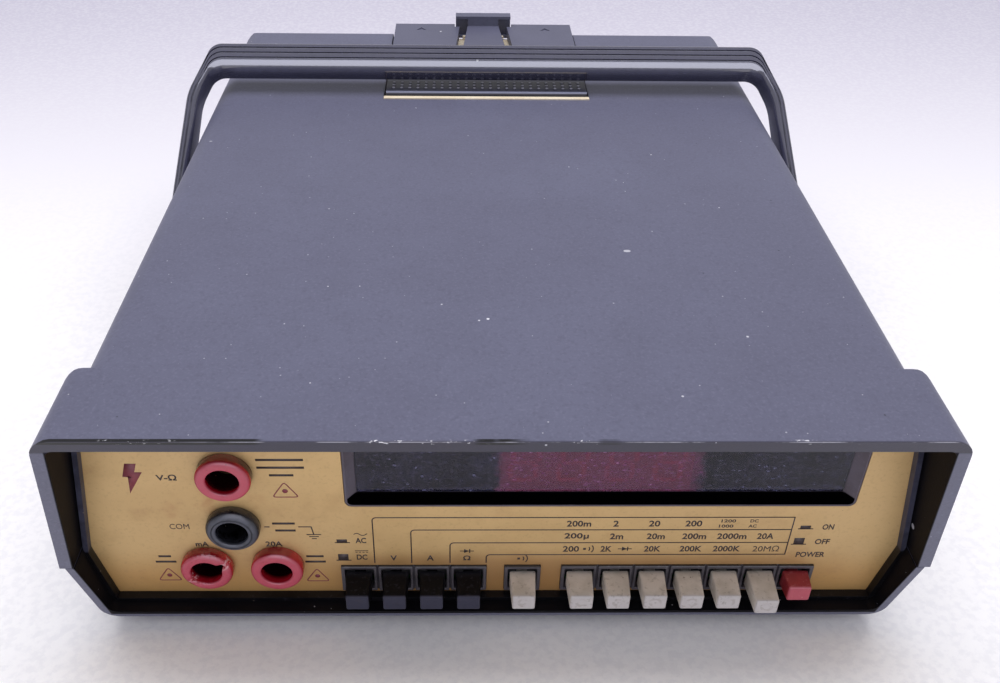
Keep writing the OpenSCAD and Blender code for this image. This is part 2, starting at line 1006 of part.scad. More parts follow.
// ---- batteries ----
module battery_tray() {
    lip_half = cover_half + 0.8;
    flange = 6;
    color([0.92, 0.88, 0.8])
        placed()
            difference() {
                union() {
                    box([-tray_half, tray_front, tray_floor], [tray_half, tray_rear, body_ceiling]);
                    // Flange that hangs under the top of the case
                    box(
                        [-tray_half - flange, tray_front - flange, body_ceiling - tray_t],
                        [tray_half + flange, tray_rear, body_ceiling]);
                    // Lip that shows in front of the cover
                    box(
                        [-lip_half, cover_front - 2.6, body_ceiling - 1],
                        [lip_half, cover_front - 0.6, body_top + 0.5]);
                    // Tongue under the latch, with a post below each of the latch's slots
                    box(
                        [-14, tray_rear - 1, body_ceiling - tray_t],
                        [14, case_rear - 0.2, body_ceiling]);
                    both_sides()
                        box([7.4, case_rear - 1.8, body_ceiling - 1], [9, case_rear - 0.2, body_ceiling + 1.7]);
                }
                difference() {
                    box(
                        [-tray_half + tray_t, tray_front + tray_t, tray_floor + tray_t],
                        [tray_half - tray_t, tray_rear - tray_t, body_ceiling + 1]);
                    // Shelf under the latch
                    box([-14, latch_root_y - 4, body_ceiling - 0.8], [14, tray_rear, body_ceiling]);
                }
            }
}

module cell_places() {
    for (layer = [0, 1], row = [-1, 1])
        translate([0, cell_y + row * (cell_r + 1), cell_z + layer * (2 * cell_r + 0.3)])
            children();
}

module battery_cells() {
    color([0.75, 0.6, 0.25])
        placed()
            cell_places() {
                x_rod(0, 0, cell_r, -cell_len / 2, cell_len / 2 - 2);
                x_rod(0, 0, 3.4, cell_len / 2 - 2.5, cell_len / 2);
            }
}

module battery_contacts() {
    color([0.8, 0.8, 0.82])
        placed()
            cell_places() {
                box([cell_len / 2, -6, -6], [cell_len / 2 + 0.6, 6, 6]);
                box([-tray_half + tray_t, -6, -6], [-tray_half + tray_t + 0.6, 6, 6]);
                // Spring washers stacked into a coil against the flat end
                for (i = [0 : 4])
                    translate([-cell_len / 2 - 1.2 - 2 * i, 0, 0])
                        rotate([0, 90, 0])
                            rotate_extrude()
                                translate([3.6 + 0.7 * i, 0])
                                    circle(r = 1.05, $fn = 16);
            }
}

// Outline of the slot that frees the latch from the cover
function slot_outline() = [
    [-slot_root_half, latch_root_y],
    [slot_root_half, latch_root_y],
    [slot_tip_half, slot_end_y],
    [-slot_tip_half, slot_end_y]
];

module battery_cover() {
    flange_front = case_rear + 0.5;
    color([0.4, 0.4, 0.47])
        placed()
            difference() {
                union() {
                    yz_prism(rounded([
                        [cover_front, cover_top - cover_t],
                        [cover_front, cover_top],
                        [cover_rear, cover_top],
                        [cover_rear, cover_top - 13],
                        [flange_front, cover_top - 13],
                        [flange_front, cover_top - cover_t]
                    ], [0, 0.8, 1.5, 0, 0, 0]), -cover_half, cover_half);
                    // Grip dots near the front end
                    for (i = [0 : 23], j = [0 : 2])
                        z_rod(
                            (i - 11.5) * dot_pitch, cover_front + 3.2 + 2.6 * j, dot_r,
                            cover_top - 0.5, cover_top + 0.3);
                    // Ribs under the cover
                    for (x = [-33, 32])
                        box([x, cover_front + 6, cover_top - cover_t - 0.9], [x + 1, 250, cover_top - 2]);
                }
                xy_prism(slot_outline(), 60, 100);
                box([-latch_head_half - 0.5, slot_end_y - 0.1, 60], [latch_head_half + 0.5, 300, 100]);
                // Engraved arrows that show which way the cover slides
                for (x = [-27, 27])
                    translate([x, 258, 0])
                        xy_prism([[-2.2, 0], [2.2, 0], [0, 3]], cover_top - 0.4, cover_top + 1);
            }
}

module cover_latch() {
    root = latch_root_y + 1;
    head_front = slot_end_y + 0.9;
    color([0.4, 0.4, 0.47])
        placed() {
            xy_prism([
                [-latch_root_half, root],
                [latch_root_half, root],
                [latch_tip_half, 264],
                [-latch_tip_half, 264]
            ], cover_top - 2.6, cover_top);
            difference() {
                box(
                    [-latch_head_half, head_front, cover_top - 5.5],
                    [latch_head_half, front_edge_y + overall_depth, latch_head_top]);
                // Hollow front of the head, either side of the stem
                both_sides()
                    box(
                        [latch_tip_half, slot_end_y, cover_top - 4.5],
                        [latch_head_half + 1, head_front + 2.1, latch_head_top - 1.2]);
            }
        }
}

// ---- handle ----
// Built in its own plane: X across, Y away from the pivot, Z across the plane
module at_handle() {
    translate([0, pivot_y, pivot_z])
        rotate([handle_angle, 0, 0])
            children();
}

// Outline of the handle: its arms, the bends and the grip
function handle_outline() =
    let (
        outer = grip_inner + grip_depth,
        bend_half = pivot_half - arm_lean * handle_bend_y,
        u = unit([handle_corner_half - bend_half, outer - handle_bend_y]),
        // The slanted stretch between bend and corner keeps the arm's thickness
        inner_half = handle_corner_half - arm_t / u[1] - (grip_inner - outer) * -u[0] / u[1],
        inner_bend_y = handle_bend_y - arm_t * (1 + u[0]) / 2,
        right = [
            [pivot_half - arm_t, 0],
            [pivot_half, 0],
            [bend_half, handle_bend_y],
            [handle_corner_half, outer]
        ],
        left = [
            [-handle_corner_half, outer],
            [-bend_half, handle_bend_y],
            [-pivot_half, 0],
            [arm_t - pivot_half, 0]
        ],
        inner = [
            [arm_t - bend_half, inner_bend_y],
            [-inner_half, grip_inner],
            [inner_half, grip_inner],
            [bend_half - arm_t, inner_bend_y]
        ]
    )
    rounded(concat(right, left, inner), [0, 0, 25, 5, 5, 25, 0, 0, 25, 6, 6, 25]);

module handle() {
    top = handle_w / 2;
    outer = grip_inner + grip_depth;
    underside = top - grip_w;
    grip_half = handle_corner_half - 4.6;
    round_y = grip_inner + grip_round_r;
    round_z = top - grip_round_r;
    color([0.1, 0.1, 0.14])
        placed()
            at_handle()
                difference() {
                    union() {
                        translate([0, 0, -top])
                            linear_extrude(handle_w)
                                polygon(handle_outline());
                        both_sides()
                            x_rod(0, 0, pivot_disc_r, pivot_half - arm_t, pivot_half);
                    }
                    // The arms grow narrower towards the grip
                    yz_prism([
                        [pivot_disc_r + 2, -top],
                        [handle_bend_y + 3, underside],
                        [outer + 1, underside],
                        [outer + 1, -top - 1],
                        [pivot_disc_r + 2, -top - 1]
                    ], -pivot_half - 1, pivot_half + 1);
                    // Pivot holes with wells for the screw heads
                    both_sides() {
                        x_rod(0, 0, pivot_hole_r, pivot_half - arm_t - 1, pivot_half + 1);
                        x_rod(0, 0, screw_head_r + 0.3, pivot_half - 1.9, pivot_half + 1);
                        // Flat face that turns on the washer
                        x_rod(0, 0, pivot_disc_r + 0.5, 100, pivot_half - arm_t);
                    }
                    // Rounded front edge of the grip
                    difference() {
                        box([-grip_half, grip_inner - 1, round_z], [grip_half, round_y, top + 1]);
                        x_rod(round_y, round_z, grip_round_r, -grip_half - 1, grip_half + 1);
                    }
                    // Grooves along the grip
                    for (i = [0 : 2]) {
                        y = outer - 2.1 - 2.15 * i;
                        half = grip_half + 1.4 * i;
                        box([-half, y - groove_w / 2, top - groove_w], [half, y + groove_w / 2, top + 1]);
                    }
                }
}

module handle_screws() {
    color([0.2, 0.2, 0.22])
        placed()
            both_sides()
                difference() {
                    union() {
                        x_rod(pivot_y, pivot_z, screw_head_r, pivot_half - 1.7, pivot_half - 0.1);
                        x_rod(pivot_y, pivot_z, pivot_shank_r, 100, pivot_half - 1);
                    }
                    // Coin slot
                    box(
                        [pivot_half - 0.9, pivot_y - 5.5, pivot_z - 0.7],
                        [pivot_half + 1, pivot_y + 5.5, pivot_z + 0.7]);
                }
}

module handle_washers() {
    color([0.85, 0.85, 0.82])
        placed()
            both_sides()
                difference() {
                    x_rod(pivot_y, pivot_z, 8, pivot_boss_x, pivot_half - arm_t - 0.2);
                    x_rod(pivot_y, pivot_z, pivot_shank_r, 100, 120);
                }
}

// ---- rear ----
module dc_inlet() {
    inner = case_rear - wall;
    color([0.08, 0.08, 0.09])
        placed()
            difference() {
                union() {
                    y_rod(inlet_x, inlet_z, inlet_r, inner - 10, case_rear);
                    y_rod(inlet_x, inlet_z, inlet_r + 1.5, case_rear, case_rear + 1.2);
                    y_rod(inlet_x, inlet_z, inlet_r + 2, inner - 2, inner);
                }
                y_rod(inlet_x, inlet_z, inlet_bore_r, inner - 8, case_rear + 3);
            }
}

upper_shell();
lower_shell();
panel_frame();
front_panel();
display_bezel();
display_window();
display_board();
led_digits();
main_board();
integrated_circuits();
capacitors();
buzzer();
current_shunt();
board_screws();
internal_leads();
jack_volts_ohms();
jack_common();
jack_twenty_amps();
jack_sockets();
jack_nuts();
jack_milliamps();
milliamps_socket();
fuse_tube();
fuse_caps();
fuse_holder();
button_ac_dc();
button_volts();
button_amps();
button_ohms();
button_continuity();
button_range_1();
button_range_2();
button_range_3();
button_range_4();
button_range_5();
button_range_6();
button_power();
button_frames();
switch_bodies();
battery_tray();
battery_cells();
battery_contacts();
battery_cover();
cover_latch();
handle();
handle_screws();
handle_washers();
dc_inlet();
rubber_feet();
case_screws();
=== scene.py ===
import json
import math

import bmesh
import bpy
from mathutils import Matrix, Vector, noise


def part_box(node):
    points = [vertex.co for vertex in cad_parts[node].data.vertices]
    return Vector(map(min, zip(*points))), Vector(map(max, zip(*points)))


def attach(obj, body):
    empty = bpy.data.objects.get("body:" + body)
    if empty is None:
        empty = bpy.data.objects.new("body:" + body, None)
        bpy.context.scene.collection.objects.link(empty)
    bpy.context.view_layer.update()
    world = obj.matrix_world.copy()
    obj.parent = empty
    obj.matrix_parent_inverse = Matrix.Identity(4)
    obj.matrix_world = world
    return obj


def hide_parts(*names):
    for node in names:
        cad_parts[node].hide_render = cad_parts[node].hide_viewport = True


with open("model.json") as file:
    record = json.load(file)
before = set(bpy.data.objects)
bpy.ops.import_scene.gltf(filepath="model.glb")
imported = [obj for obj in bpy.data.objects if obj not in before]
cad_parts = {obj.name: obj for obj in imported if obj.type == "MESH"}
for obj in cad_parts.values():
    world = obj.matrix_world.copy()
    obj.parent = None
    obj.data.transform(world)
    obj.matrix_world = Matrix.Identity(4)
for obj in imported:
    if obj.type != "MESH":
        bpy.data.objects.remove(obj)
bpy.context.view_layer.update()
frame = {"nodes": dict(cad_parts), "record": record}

# Lengths in this script are millimetres: x from the middle of the case, y back from a plane 2 mm
# in front of the hood, z up from the table. FRONT_Y is that plane's y in the row frame, in metres.
MM = 0.001
FRONT_Y = -0.135
CASE_TOP = 80.9
HOOD_FRONT = 2.0
HOOD_LEAN = 0.15
PANEL_Y = 19.06
PRINT_Y = PANEL_Y - 0.02
MARK_LIFT = 0.03

# Jack insulators
RING_R, HOLE_R, SEAT_R = 7.1, 4.25, 3.2

# Handle, in the plane it lies in: sizes away from the pivot and across the plane
PIVOT_Y, PIVOT_Z, HANDLE_ANGLE = 131.0, 37.2, 36.7
PIVOT_HALF, ARM_T, ARM_LEAN, DISC_R = 114.7, 4.0, 0.04, 11.5
BEND_Y, CORNER_HALF, INNER_CORNER_HALF = 72.0, 104.0, 103.7
GRIP_INNER, GRIP_OUTER, HANDLE_W, GRIP_W = 82.1, 92.8, 13.0, 9.7


def point(x, y, z):
    return Vector((x * MM, FRONT_Y + y * MM, z * MM))


def rgb(red, green, blue):
    """A colour on the screen, 0 to 255, as linear light."""
    def linear(v):
        v /= 255
        return v / 12.92 if v <= 0.04045 else ((v + 0.055) / 1.055) ** 2.4
    return (linear(red), linear(green), linear(blue), 1.0)


# ---- materials ----

class Finish:
    """A procedural material, put together layer by layer around one Principled shader."""

    def __init__(self, name, colour, rough, local=False):
        self.material = bpy.data.materials.new(name)
        self.material.use_nodes = True
        self.tree = self.material.node_tree
        self.shader = self.tree.nodes["Principled BSDF"]
        coords = self.put("ShaderNodeTexCoord", {}).outputs["Object"]
        shift = (0, 0, 0) if local else (0, -FRONT_Y / MM, 0)
        self.at = self.put(
            "ShaderNodeVectorMath", {0: coords, 1: (1 / MM,) * 3, 2: shift},
            operation="MULTIPLY_ADD").outputs[0]
        axes = self.put("ShaderNodeSeparateXYZ", {0: self.at}).outputs
        self.x, self.y, self.z = axes[0], axes[1], axes[2]
        self.colour = self.put("ShaderNodeRGB", {})
        self.colour.outputs[0].default_value = colour
        self.colour = self.colour.outputs[0]
        self.rough = rough
        self.height = None

    def put(self, kind, values, **settings):
        node = self.tree.nodes.new(kind)
        for key, value in settings.items():
            setattr(node, key, value)
        for key, value in values.items():
            if isinstance(value, bpy.types.NodeSocket):
                self.tree.links.new(value, node.inputs[key])
            else:
                node.inputs[key].default_value = value
        return node

    def math(self, operation, a, b=0.0):
        return self.put("ShaderNodeMath", {0: a, 1: b}, operation=operation).outputs[0]

    def all_of(self, *masks):
        result = masks[0]
        for mask in masks[1:]:
            result = self.math("MULTIPLY", result, mask)
        return result

    def band(self, value, low, high):
        """0 below low, 1 above high, smooth between; falls instead where low is above high."""
        return self.put(
            "ShaderNodeMapRange", {0: value, 1: low, 2: high},
            interpolation_type="SMOOTHSTEP").outputs[0]

    def near(self, value, middle, reach):
        away = self.math("ABSOLUTE", self.math("SUBTRACT", value, middle))
        return self.band(away, reach, reach * 0.6)

    def inside_radius(self, radius):
        """1 within that distance of the part's own axis, which runs along y."""
        squares = self.math("ADD", self.math("POWER", self.x, 2.0), self.math("POWER", self.z, 2.0))
        return self.math("LESS_THAN", squares, radius * radius)

    def fade(self, mask, outside, inside):
        """A value that goes from outside to inside with the mask."""
        return self.put(
            "ShaderNodeMath", {0: mask, 1: inside - outside, 2: outside}, operation="MULTIPLY_ADD").outputs[0]

    def placed(self, size, stretch=(1, 1, 1), seed=0):
        scale = tuple(s / size for s in stretch)
        return self.put(
            "ShaderNodeVectorMath", {0: self.at, 1: scale, 2: (seed * 7.3, seed * 3.1, seed * 5.7)},
            operation="MULTIPLY_ADD").outputs[0]

    def noise(self, size, detail=3.0, stretch=(1, 1, 1), seed=0):
        return self.put(
            "ShaderNodeTexNoise",
            {"Vector": self.placed(size, stretch, seed), "Scale": 1.0,
             "Detail": detail, "Roughness": 0.55}).outputs["Fac"]

    def spots(self, spacing, radius, share=1.0, stretch=(1, 1, 1), seed=0):
        """Scattered spots: one in each cell of that spacing, for that share of the cells."""
        cells = self.put(
            "ShaderNodeTexVoronoi", {"Vector": self.placed(spacing, stretch, seed), "Scale": 1.0})
        pick = self.put("ShaderNodeSeparateColor", {0: cells.outputs["Color"]}).outputs
        limit = self.math("MULTIPLY", pick[1], radius / spacing)
        chosen = self.band(pick[0], share + 0.001, share)
        inside = self.math("LESS_THAN", cells.outputs["Distance"], limit)
        return self.math("MULTIPLY", chosen, inside)

    def mix(self, mask, a, b):
        return self.put("ShaderNodeMix", {0: mask, 6: a, 7: b}, data_type="RGBA").outputs[2]

    def layer(self, mask, colour, amount=1.0):
        if amount != 1.0:
            mask = self.math("MULTIPLY", mask, amount)
        self.colour = self.mix(mask, self.colour, colour)
        return self

    def blotch(self, size, colour, amount, seed=0, low=0.4, high=0.65):
        return self.layer(self.band(self.noise(size, seed=seed), low, high), colour, amount)

    def raise_by(self, field, millimetres):
        step = self.math("MULTIPLY", field, millimetres)
        self.height = step if self.height is None else self.math("ADD", self.height, step)
        return self

    def grain(self, size, millimetres, stretch=(1, 1, 1), seed=0):
        return self.raise_by(self.noise(size, 2.0, stretch=stretch, seed=seed), millimetres)

    def roughen(self, field, amount):
        self.rough = self.put(
            "ShaderNodeMath", {0: field, 1: amount, 2: self.rough}, operation="MULTIPLY_ADD").outputs[0]
        return self

    def done(self, **fixed):
        if isinstance(self.rough, float):
            self.roughen(self.noise(4.0, seed=9), 0.06)
        self.tree.links.new(self.colour, self.shader.inputs["Base Color"])
        self.tree.links.new(self.rough, self.shader.inputs["Roughness"])
        if self.height is not None:
            bump = self.put("ShaderNodeBump", {"Height": self.height, "Distance": MM, "Strength": 1.0})
            self.tree.links.new(bump.outputs[0], self.shader.inputs["Normal"])
        for key, value in fixed.items():
            name = key.replace("_", " ")
            if isinstance(value, bpy.types.NodeSocket):
                self.tree.links.new(value, self.shader.inputs[name])
            else:
                self.shader.inputs[name].default_value = value
        return self.material


def shell_paint(name, inner_half, slope, top, inner_low, inner_high):
    """Grey paint with pale specks, worn along the lip, and near-black inside the hood, which is bare dark
    plastic painted darker still as shade.

    The inside is the space narrower than inner_half at the height top, growing by slope for each
    millimetre down, between the heights inner_low and inner_high.
    """
    f = Finish(name, rgb(92, 93, 114), 0.42)
    f.blotch(70, rgb(98, 100, 122), 0.5, seed=1)
    f.blotch(16, rgb(87, 88, 108), 0.3, seed=2)
    f.blotch(0.8, rgb(110, 111, 133), 0.4, seed=3, low=0.5, high=0.7)
    f.blotch(1.1, rgb(78, 78, 97), 0.35, seed=13, low=0.5, high=0.7)
    side = f.math("ABSOLUTE", f.x)
    reach = f.put(
        "ShaderNodeMath", {0: f.math("SUBTRACT", top, f.z), 1: slope, 2: inner_half},
        operation="MULTIPLY_ADD").outputs[0]
    inside = f.all_of(
        f.band(f.math("SUBTRACT", reach, side), -0.1, 0.3),
        f.band(f.z, inner_high + 0.2, inner_high - 0.2),
        f.band(f.z, inner_low - 0.2, inner_low + 0.2),
        f.band(f.y, 19.6, 19.2))
    # Inside the hood: bare dark plastic, painted darker still as the shade of the recess, and its gloss is
    # turned down as well
    f.layer(inside, rgb(15, 14, 19))
    # Front face of the lip, painted darker than the top as shade
    plane = f.put(
        "ShaderNodeMath", {0: f.math("SUBTRACT", CASE_TOP, f.z), 1: -HOOD_LEAN, 2: f.y},
        operation="MULTIPLY_ADD").outputs[0]
    face = f.all_of(f.band(plane, HOOD_FRONT + 0.7, HOOD_FRONT + 0.1), f.band(f.z, 76.4, 77.2))
    f.layer(face, rgb(42, 39, 54), 0.85)
    # Worn lip: a thin dark line at its left end, partly worn paint and partly painted shadow under the edge,
    # and a pale broken one along the rest
    under = f.math("SUBTRACT", CASE_TOP, f.z)
    edge = f.math("ADD", f.math("SUBTRACT", f.y, HOOD_FRONT), under)
    left_end = f.math("ADD", f.noise(18, stretch=(1, 0.3, 0.3), seed=4), f.band(f.x, -55, -80))
    worn_and_shadow_line = f.all_of(f.band(left_end, 0.52, 0.62), f.near(edge, 0.6, 0.6))
    f.layer(worn_and_shadow_line, rgb(10, 9, 13))
    line = f.all_of(
        f.band(f.noise(11, 6, stretch=(1, 0.3, 0.3), seed=12), 0.46, 0.6),
        f.near(edge, -0.05, 0.26),
        f.band(f.x, -80, -50))
    f.layer(line, rgb(185, 185, 198), 0.6)
    chips = f.all_of(
        f.band(f.noise(0.9, 3, stretch=(0.6, 1, 1), seed=5), 0.6, 0.64),
        f.band(f.noise(22, 2, seed=6), 0.5, 0.62),
        f.near(edge, 0.0, 1.0))
    f.layer(chips, rgb(225, 225, 232))
    # Stray specks of pale plastic that show through the paint
    f.layer(f.spots(8, 0.4, 0.7, seed=7), rgb(205, 205, 215), 0.8)
    f.layer(f.spots(14, 0.9, 0.3, stretch=(0.6, 1, 1), seed=8), rgb(190, 190, 200), 0.8)
    f.layer(f.spots(3.4, 0.24, 0.9, seed=14), rgb(172, 172, 184), 0.8)
    f.layer(f.spots(9, 0.42, 0.8, seed=15), rgb(222, 222, 230), 0.9)
    f.layer(f.spots(6, 0.3, 0.5, seed=11), rgb(60, 60, 74))
    f.grain(0.5, 0.03)
    f.grain(2.0, 0.02, seed=1)
    f.roughen(f.noise(30, 3, seed=10), 0.1)
    return f.done(Specular_IOR_Level=f.fade(inside, 0.5, 0.05))


def cover_paint():
    """Battery cover and latch: the case's paint, with a dark grip end that is partly bare dark plastic and
    partly painted shadow of the handle, and painted highlights on its dots and edge.
    """
    grip_end, dots_y = 202.0, 192.2
    f = Finish("cover_paint", rgb(84, 85, 105), 0.4)
    f.blotch(30, rgb(92, 93, 114), 0.5, seed=1)
    f.blotch(1.0, rgb(76, 76, 94), 0.35, seed=2, low=0.5, high=0.7)
    f.layer(f.spots(7, 0.6, 0.6, seed=3), rgb(190, 190, 198))
    # Grip end: dark plastic, painted darker as the shadow of the handle
    grip = f.band(f.y, grip_end + 0.5, grip_end - 1.0)
    f.layer(grip, rgb(34, 35, 48), 0.9)
    # Painted highlights on the tops of its dots and on its edge
    f.layer(f.all_of(grip, f.band(f.z, 82.66, 82.8)), rgb(150, 150, 165), 0.8)
    f.layer(f.all_of(f.near(f.y, dots_y, 0.5), f.band(f.z, 81.6, 82.2)), rgb(120, 124, 150), 0.7)
    f.grain(0.55, 0.025).grain(2.4, 0.02, seed=1)
    return f.done(Specular_IOR_Level=0.55)


def panel_lacquer():
    """Gold panel: satin lacquer, browned by age round the sockets, with painted shade darkening its lower
    part and the band above the buttons.
    """
    sockets_x, sockets_z = -74, 42
    buttons_x, buttons_reach = 20, 78
    f = Finish("panel_lacquer", rgb(204, 171, 118), 0.4)
    f.blotch(50, rgb(212, 178, 120), 0.6, seed=1)
    f.blotch(20, rgb(192, 158, 104), 0.4, seed=2)
    # Painted shade: browner and darker towards the bottom, and darker still above the buttons
    f.layer(f.band(f.z, 27, 12), rgb(190, 140, 72), 0.6)
    shade_above_buttons = f.all_of(f.near(f.x, buttons_x, buttons_reach), f.band(f.z, 26, 19))
    f.layer(shade_above_buttons, rgb(140, 92, 48), 0.45)
    f.blotch(10, rgb(160, 118, 72), 0.3, seed=3, low=0.5, high=0.8)
    stain = f.all_of(
        f.band(f.noise(7, 4, seed=4), 0.48, 0.75), f.near(f.x, sockets_x, 16), f.near(f.z, sockets_z, 12))
    f.layer(stain, rgb(168, 112, 66), 0.5)
    f.blotch(0.9, rgb(170, 136, 90), 0.25, seed=5, low=0.52, high=0.72)
    f.layer(f.spots(5, 0.3, 0.35, seed=6), rgb(105, 76, 48), 0.7)
    f.grain(0.5, 0.012).grain(3, 0.02, stretch=(0.25, 1, 1), seed=2)
    f.roughen(f.noise(12, 3, seed=7), 0.12)
    return f.done(Metallic=0.25)


def frame_plastic():
    """Bar round the panel: black plastic, painted grey up the sides as the light falling on them."""
    f = Finish("frame_plastic", rgb(11, 11, 15), 0.3)
    # Painted light: the sides are the bottom's black plastic, painted grey where light falls on them
    f.layer(f.band(f.z, 26.4, 27.4), rgb(70, 71, 89), 0.9)
    f.blotch(5, rgb(20, 19, 24), 0.4, seed=1)
    f.blotch(1.4, rgb(70, 68, 78), 0.2, seed=2, low=0.58, high=0.72)
    f.layer(f.spots(3, 0.3, 0.5, seed=3), rgb(120, 110, 100), 0.6)
    f.grain(0.6, 0.02)
    return f.done(Specular_IOR_Level=0.12)


def bezel_plastic():
    """Window bezel: worn grey, with its lower bevel painted black as shade."""
    f = Finish("bezel_plastic", rgb(108, 102, 112), 0.4)
    f.blotch(8, rgb(92, 84, 88), 0.5, seed=1)
    f.blotch(0.8, rgb(125, 118, 126), 0.25, seed=2, low=0.55, high=0.7)
    # Painted shade: the lower bevel is made black and loses its gloss
    shaded_lower_bevel = f.all_of(f.band(f.z, 44.9, 44.4), f.band(f.y, 18.9, 19.0))
    f.layer(shaded_lower_bevel, rgb(2, 2, 3))
    f.grain(0.5, 0.015)
    return f.done(Specular_IOR_Level=f.fade(shaded_lower_bevel, 0.05, 0.0))


def window_smoke():
    """Smoked window: a film of dust that gathers in specks, and a pink haze before the figures."""
    figures_x, haze_half = 26.3, 32.5
    f = Finish("window_smoke", rgb(96, 92, 118), 0.08)
    film = f.math("MULTIPLY", f.band(f.noise(9, 4, seed=1), 0.3, 0.7), 0.09)
    fine = f.math("MULTIPLY", f.band(f.noise(1.1, 4, stretch=(0.6, 1, 1.2), seed=2), 0.45, 0.75), 0.26)
    motes = f.math("MULTIPLY", f.spots(1.3, 0.42, 0.7, stretch=(0.7, 1, 1), seed=3), 0.22)
    dust = f.math("ADD", f.math("ADD", film, fine), motes)
    away = f.math("ABSOLUTE", f.math("SUBTRACT", f.x, figures_x))
    ragged = f.math("ADD", away, f.math("MULTIPLY", f.noise(2.2, 5, seed=4), 9.0))
    pink = f.math("MULTIPLY", f.band(ragged, haze_half, haze_half - 3.5), 0.26)
    f.layer(dust, rgb(104, 108, 168))
    f.layer(pink, rgb(205, 50, 105))
    f.roughen(dust, 0.5)
    clear = f.math("SUBTRACT", f.math("SUBTRACT", 1.0, dust), pink)
    return f.done(Transmission_Weight=clear, IOR=1.35)


# Jacks and caps are painted in their own space: y is the depth behind the piece's front

def jack_red(name, chewed):
    """Red jack: glossy sides, a face painted paler as sheen, a bore darkened by painted shade and, if chewed,
    torn plastic in a slash.
    """
    f = Finish(name, rgb(178, 24, 42), 0.2, local=True)
    f.blotch(5, rgb(150, 14, 30), 0.5, seed=1)
    # Painted shade down the plug hole, which also loses its gloss
    shaded_bore = f.all_of(f.inside_radius(4.9), f.band(f.y, 1.2, 3.0))
    f.layer(shaded_bore, rgb(8, 1, 2), 0.98)
    # Painted shade: the upper jack's sides are darkened where the hood shades them, and so is the top of
    # every ring
    place = f.put("ShaderNodeObjectInfo", {}).outputs["Location"]
    height = f.put("ShaderNodeSeparateXYZ", {0: place}).outputs[2]
    f.layer(f.all_of(f.band(height, 0.045, 0.05), f.band(f.y, 0.9, 1.8)), rgb(30, 4, 8), 0.9)
    f.layer(f.all_of(f.band(f.z, 4.6, 6.6), f.band(f.y, 0.2, 0.8)), rgb(120, 8, 20), 0.7)
    # Painted sheen: the face is made paler and pinker, as the white ceiling's reflection would make it
    face = f.band(f.y, 0.9, 0.15)
    f.layer(face, rgb(190, 74, 96), 0.8)
    f.layer(f.all_of(face, f.band(f.noise(2.2, 4, seed=2), 0.5, 0.7)), rgb(185, 50, 74), 0.5)
    if chewed:
        slash = f.near(f.math("SUBTRACT", f.z, f.math("MULTIPLY", f.x, 0.55)), 0.0, 1.8)
        torn = f.all_of(f.band(f.noise(1.1, 4, seed=3), 0.5, 0.58), slash, f.band(f.y, 2.6, 1.8))
        f.layer(torn, rgb(225, 170, 175), 0.75)
        f.grain(0.9, 0.25, seed=4)
    f.layer(f.spots(2.5, 0.3, 0.4, seed=5), rgb(110, 60, 60), 0.6)
    f.roughen(face, 0.2)
    f.grain(0.7, 0.03)
    return f.done(Specular_IOR_Level=f.fade(shaded_bore, 0.6, 0.03))


def jack_black():
    f = Finish("jack_black", rgb(26, 27, 34), 0.24, local=True)
    # Painted shade down the plug hole, which also loses its gloss
    shaded_bore = f.all_of(f.inside_radius(4.9), f.band(f.y, 1.4, 3.0))
    f.layer(shaded_bore, rgb(3, 3, 4), 0.97)
    face = f.band(f.y, 1.3, 0.15)
    f.layer(face, rgb(78, 81, 95), 0.8)
    f.blotch(2.6, rgb(44, 45, 54), 0.5, seed=1)
    f.layer(f.spots(2.5, 0.3, 0.4, seed=5), rgb(120, 112, 108), 0.6)
    f.roughen(face, 0.2)
    f.grain(0.7, 0.03)
    return f.done(Specular_IOR_Level=f.fade(shaded_bore, 0.5, 0.03))


def cap_plastic(name, base, shade, dirt_and_shade, rough, face_tone, face_tone_share, gloss):
    """Button cap: a face of its own tone, and a back painted darker as shade where it goes into its frame.
    Each cap's place gives it its own marks.
    """
    f = Finish(name, base, rough, local=True)
    place = f.put("ShaderNodeObjectInfo", {}).outputs["Location"]
    f.at = f.put(
        "ShaderNodeVectorMath", {0: place, 1: (1 / MM,) * 3, 2: f.at}, operation="MULTIPLY_ADD").outputs[0]
    f.blotch(7, shade, 0.6, seed=1)
    face = f.band(f.y, 0.9, 0.2)
    f.layer(face, face_tone, face_tone_share)
    if name == "cap_grey":
        # Faint ring that a fingertip has left
        squares = f.math("ADD", f.math("POWER", f.x, 2.0), f.math("POWER", f.z, 2.0))
        ring = f.near(f.math("POWER", squares, 0.5), 1.35, 0.5)
        f.layer(f.all_of(ring, face, f.band(f.noise(2.0, 3, seed=4), 0.45, 0.6)), rgb(140, 128, 116), 0.3)
    f.blotch(1.1, dirt_and_shade, 0.3, seed=2, low=0.56, high=0.7)
    f.layer(f.spots(1.9, 0.26, 0.5, seed=3), dirt_and_shade, 0.8)
    # Painted shade: the back of the cap darkens where it goes into its frame
    f.layer(f.band(f.y, 6.0, 8.6), dirt_and_shade, 0.25)
    f.roughen(f.noise(3, 3, seed=5), 0.14)
    f.grain(0.5, 0.02)
    return f.done(Specular_IOR_Level=gloss)


def frames_plastic():
    """Frames round the buttons: grey, with their top edges painted dark as shadow."""
    f = Finish("button_frame", rgb(84, 79, 86), 0.38)
    f.blotch(5, rgb(64, 60, 66), 0.6, seed=1)
    # Painted shadow along the tops of the frames
    f.layer(f.band(f.z, 18.3, 18.5), rgb(24, 21, 23))
    f.blotch(1.2, rgb(104, 98, 104), 0.3, seed=2, low=0.55, high=0.7)
    f.grain(0.5, 0.02)
    return f.done()


